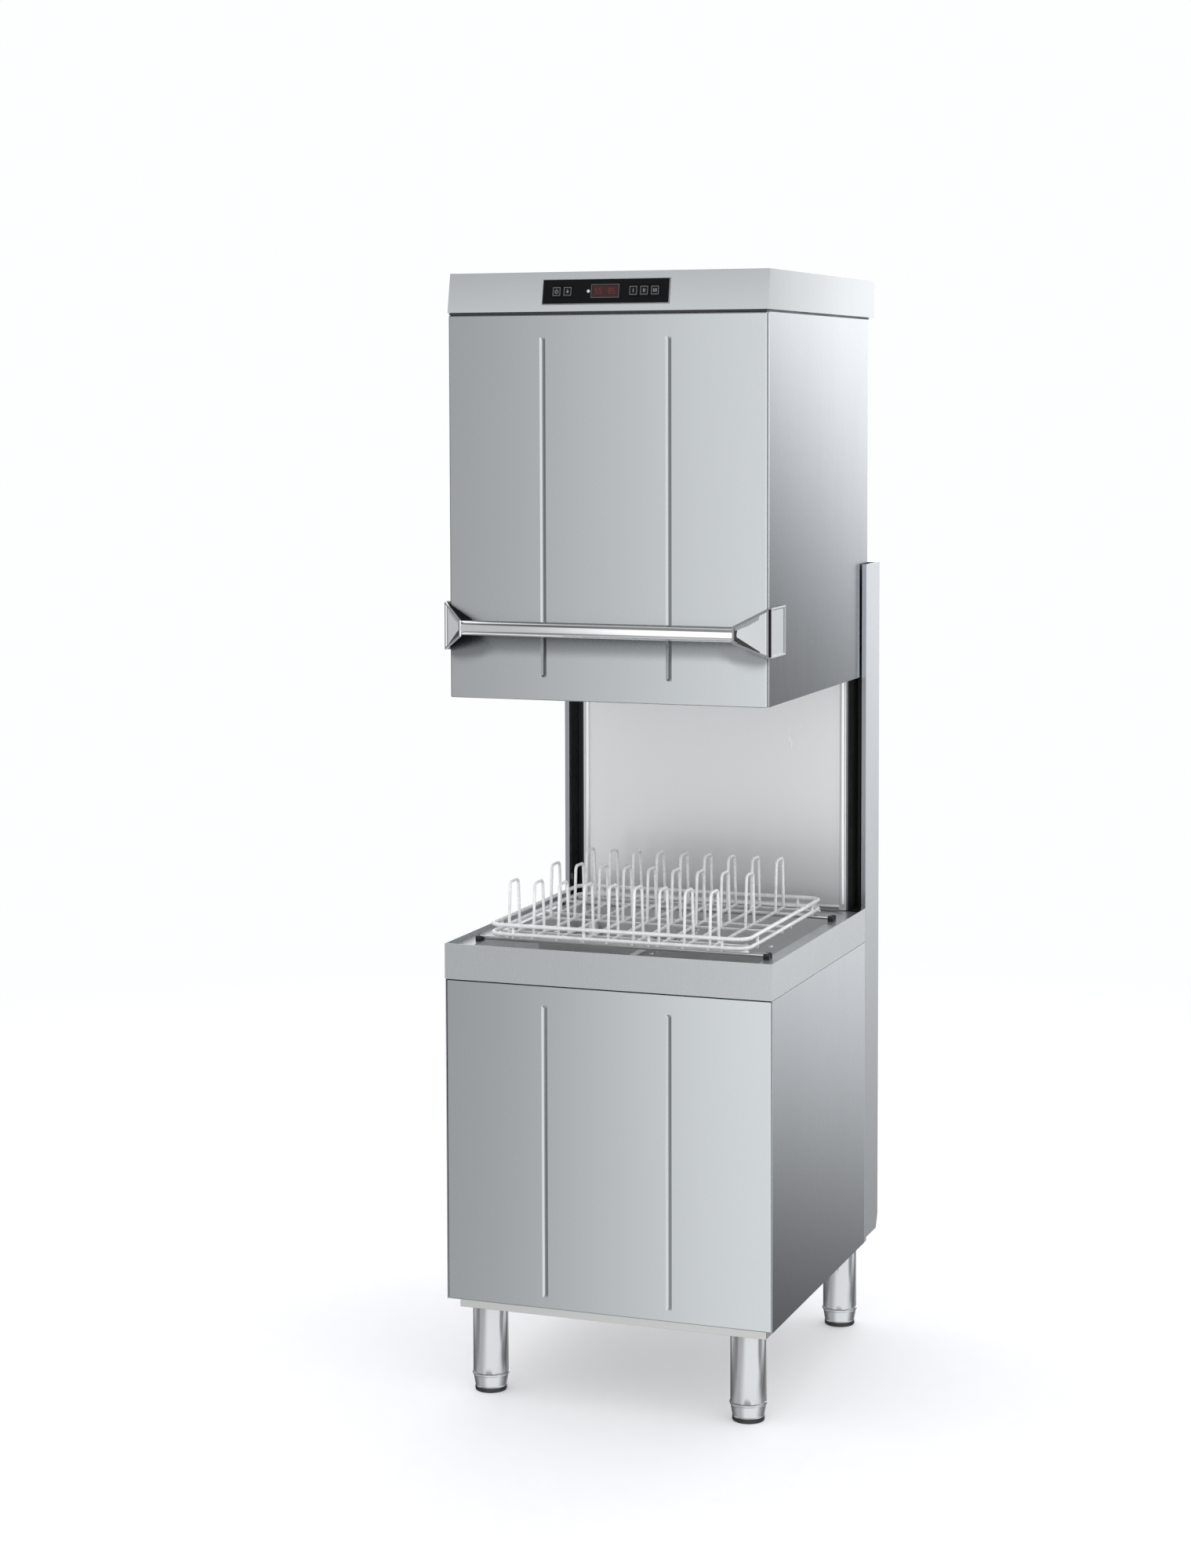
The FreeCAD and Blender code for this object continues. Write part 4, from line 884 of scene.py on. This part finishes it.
# How far from the arm's middle each nozzle sits. Known fault: the wash arms lie along X and the rinse
# arms along Y, so along_y is the wrong way round in the four rows below, and no nozzle is on its arm.
WASH_REACH = (48, 92, 136, 180, 214)
RINSE_REACH = (60, 110, 160, 206)
for name, along_y, surface, way, reaches, width in (
        ("lower_wash_arm", True, 764, 1, WASH_REACH, 4), ("lower_rinse_arm", False, 781, 1, RINSE_REACH, 1),
        ("upper_wash_arm", True, 1375, -1, WASH_REACH, 4),
        ("upper_rinse_arm", False, 1354, -1, RINSE_REACH, 1)):
    make(name.replace("arm", "nozzles"), name, "polished_steel",
         nozzles(along_y, surface, way, reaches, width), bevel=0)


# ---------------------------------------------------------------- camera, floor and lights

YAW, PITCH, ROLL = 20.353, 3.812, -0.17     # degrees: to the left, down, and round the view
EYE = (1.7835, -5.1683, 1.7691)             # metres
LENS = 69.6798                              # millimetres on Blender's 36 mm sensor
RISE = -0.12                                # the camera's shift in the picture's height

# The world's light, by the direction (X, Y, Z) that it comes from. A light is two values of the
# direction, then the level at each. A shade is a row of (direction, share of the light).
FRONT_LIGHT = (-0.62, 0.0, 0.56, 1.36)      # along X, in front of the machine
FRONT_WALL = ((-1.0, 0.42), (-0.84, 0.42), (-0.82, 0.28), (-0.72, 0.28), (-0.68, 1.0), (0.52, 1.0),
              (0.64, 0.20), (1.0, 0.20))    # along Z: dark above and below the wall in front
FRONT_SHADE = ((-1.0, 0.36), (-0.90, 0.36), (-0.78, 1.0), (0.93, 1.0), (0.98, 0.2),
               (1.0, 0.2))                  # along X: dark at the far left and the far right
BACK_LIGHT = (-0.40, 0.03, 0.28, 1.90)      # along Z, behind the machine
SIDE_SHADE = ((-1.0, 1.0), (0.25, 1.0), (0.37, 0.70), (0.50, 0.07), (0.66, 0.07), (0.80, 0.6),
              (0.96, 0.6), (0.985, 0.2), (1.0, 0.2))    # along X: the dark band that the right sides show
LEFT_SHADE = ((-1.0, 0.45), (-0.9, 0.45), (-0.82, 0.12), (-0.6, 0.12), (-0.42, 1.0),
              (1.0, 1.0))                   # along X: the dark band that the legs and the bar show
FLOOR_LIGHT, FLOOR_EDGE = 0.95, (-0.65, -0.45)      # the level below the machine, and where it ends in Z
TOP_LIGHT, TOP_EDGE = 1.3, (0.25, 0.9)      # the level above, and where it starts in Z
TURN_EDGE = (-0.3, 0.3)                     # where the front gives way to the back, in Y
SOFT_LIGHT = 1.05                           # the one level that diffuse rays see
BACKGROUND = 1.0                            # and the one that the camera sees


def make_camera():
    """Looks at the machine from the front right, a little down."""
    camera = bpy.data.objects.new("camera", bpy.data.cameras.new("camera"))
    bpy.context.scene.collection.objects.link(camera)
    yaw, pitch, roll = math.radians(YAW), math.radians(PITCH), math.radians(ROLL)
    ahead = Vector((-math.sin(yaw) * math.cos(pitch), math.cos(yaw) * math.cos(pitch),
                    -math.sin(pitch)))
    turn = ahead.to_track_quat("-Z", "Y").to_matrix()
    camera.matrix_world = (Matrix.Translation(EYE)
                           @ (turn @ Matrix.Rotation(roll, 3, "Z")).to_4x4())
    camera.data.lens = LENS
    camera.data.shift_y = RISE
    bpy.context.scene.camera = camera


def make_floor():
    """A round pale floor that fades out with its distance from the machine."""
    mesh = bpy.data.meshes.new("floor")
    work = bmesh.new()
    bmesh.ops.create_circle(work, cap_ends=True, segments=96, radius=9.0)
    work.to_mesh(mesh)
    work.free()
    floor = bpy.data.objects.new("floor", mesh)
    bpy.context.scene.collection.objects.link(floor)
    t = Tree("floor")
    distance = t.add("VectorMath", out=1, settings={"operation": "LENGTH"}, Vector=t.place)
    fade = t.add("MapRange", settings={"interpolation_type": "SMOOTHSTEP"}, Value=distance,
                 From_Min=1.2, From_Max=4.5, To_Min=0.0, To_Max=1.0)
    speck = t.noise((30, 30, 30), detail=3.0)
    t.finish(Base_Color=t.mix(t.spread(speck, 0, 1), (0.80, 0.795, 0.82, 1), (0.83, 0.825, 0.85, 1)),
             Roughness=0.9, Specular_IOR_Level=0.1, Emission_Color=(1, 1, 1, 1),
             Emission_Strength=0.24)
    clear = t.add("BsdfTransparent")
    mixed = t.add("MixShader")
    t.give(mixed.node, "0", fade)
    t.give(mixed.node, "1", t.shader.outputs[0])
    t.give(mixed.node, "2", clear)
    output = next(node for node in t.tree.nodes if node.type == "OUTPUT_MATERIAL")
    t.tree.links.new(mixed, output.inputs[0])
    mesh.materials.append(t.material)
    floor.visible_glossy = False


def make_world():
    """White to the eye; the light itself comes from a soft studio gradient.
    In front it brightens from the left to the right. Behind it brightens from the floor upwards.
    The shades put dark bands in it for the steel to mirror."""
    world = bpy.data.worlds.new("studio")
    world.use_nodes = True
    tree = world.node_tree
    tree.nodes.clear()

    def add(kind, settings=None, **sockets):
        node = tree.nodes.new("ShaderNode" + kind)
        for key, value in (settings or {}).items():
            setattr(node, key, value)
        for key, value in sockets.items():
            socket = node.inputs[key.replace("_", " ")]
            if isinstance(value, bpy.types.NodeSocket):
                tree.links.new(value, socket)
            else:
                socket.default_value = value
        return node

    def band(value, low, high, start, end, how="SMOOTHSTEP"):
        node = add("MapRange", {"interpolation_type": how}, Value=value, From_Min=low, From_Max=high,
                   To_Min=start, To_Max=end)
        return node.outputs[0]

    def blend(share, first, second):
        node = tree.nodes.new("ShaderNodeMix")
        for socket, value in zip(node.inputs[0:1] + node.inputs[2:4], (share, first, second)):
            if isinstance(value, bpy.types.NodeSocket):
                tree.links.new(value, socket)
            else:
                socket.default_value = value
        return node.outputs[0]

    def steps(value, stops):
        ramp = add("ValToRGB", Fac=band(value, -1, 1, 0, 1, "LINEAR"))
        elements = ramp.color_ramp.elements
        while len(elements) < len(stops):
            elements.new(0.5)
        for element, (at, share) in zip(elements, stops):
            element.position = (at + 1) / 2
            element.color = (share, share, share, 1)
        return ramp.outputs[0]

    def product(first, second):
        node = tree.nodes.new("ShaderNodeMath")
        node.operation = "MULTIPLY"
        tree.links.new(first, node.inputs[0])
        tree.links.new(second, node.inputs[1])
        return node.outputs[0]

    parts = add("SeparateXYZ", Vector=add("TexCoord").outputs["Generated"]).outputs
    front = product(band(parts[0], *FRONT_LIGHT), steps(parts[2], FRONT_WALL))
    front = product(front, steps(parts[0], FRONT_SHADE))
    behind = product(band(parts[2], *BACK_LIGHT), steps(parts[0], SIDE_SHADE))
    behind = product(behind, steps(parts[0], LEFT_SHADE))
    behind = blend(band(parts[2], *FLOOR_EDGE, 1, 0), behind, FLOOR_LIGHT)
    behind = blend(band(parts[2], *TOP_EDGE, 0, 1), behind, TOP_LIGHT)
    level = blend(band(parts[1], *TURN_EDGE, 0, 1), front, behind)
    path = add("LightPath").outputs
    level = blend(path["Is Diffuse Ray"], level, SOFT_LIGHT)
    level = blend(path["Is Camera Ray"], level, BACKGROUND)
    background = add("Background", Color=(0.985, 0.995, 1.0, 1), Strength=level)
    output = tree.nodes.new("ShaderNodeOutputWorld")
    tree.links.new(background.outputs[0], output.inputs[0])
    bpy.context.scene.world = world


make_camera()
make_floor()
make_world()
bpy.context.scene.view_settings.view_transform = "Standard"
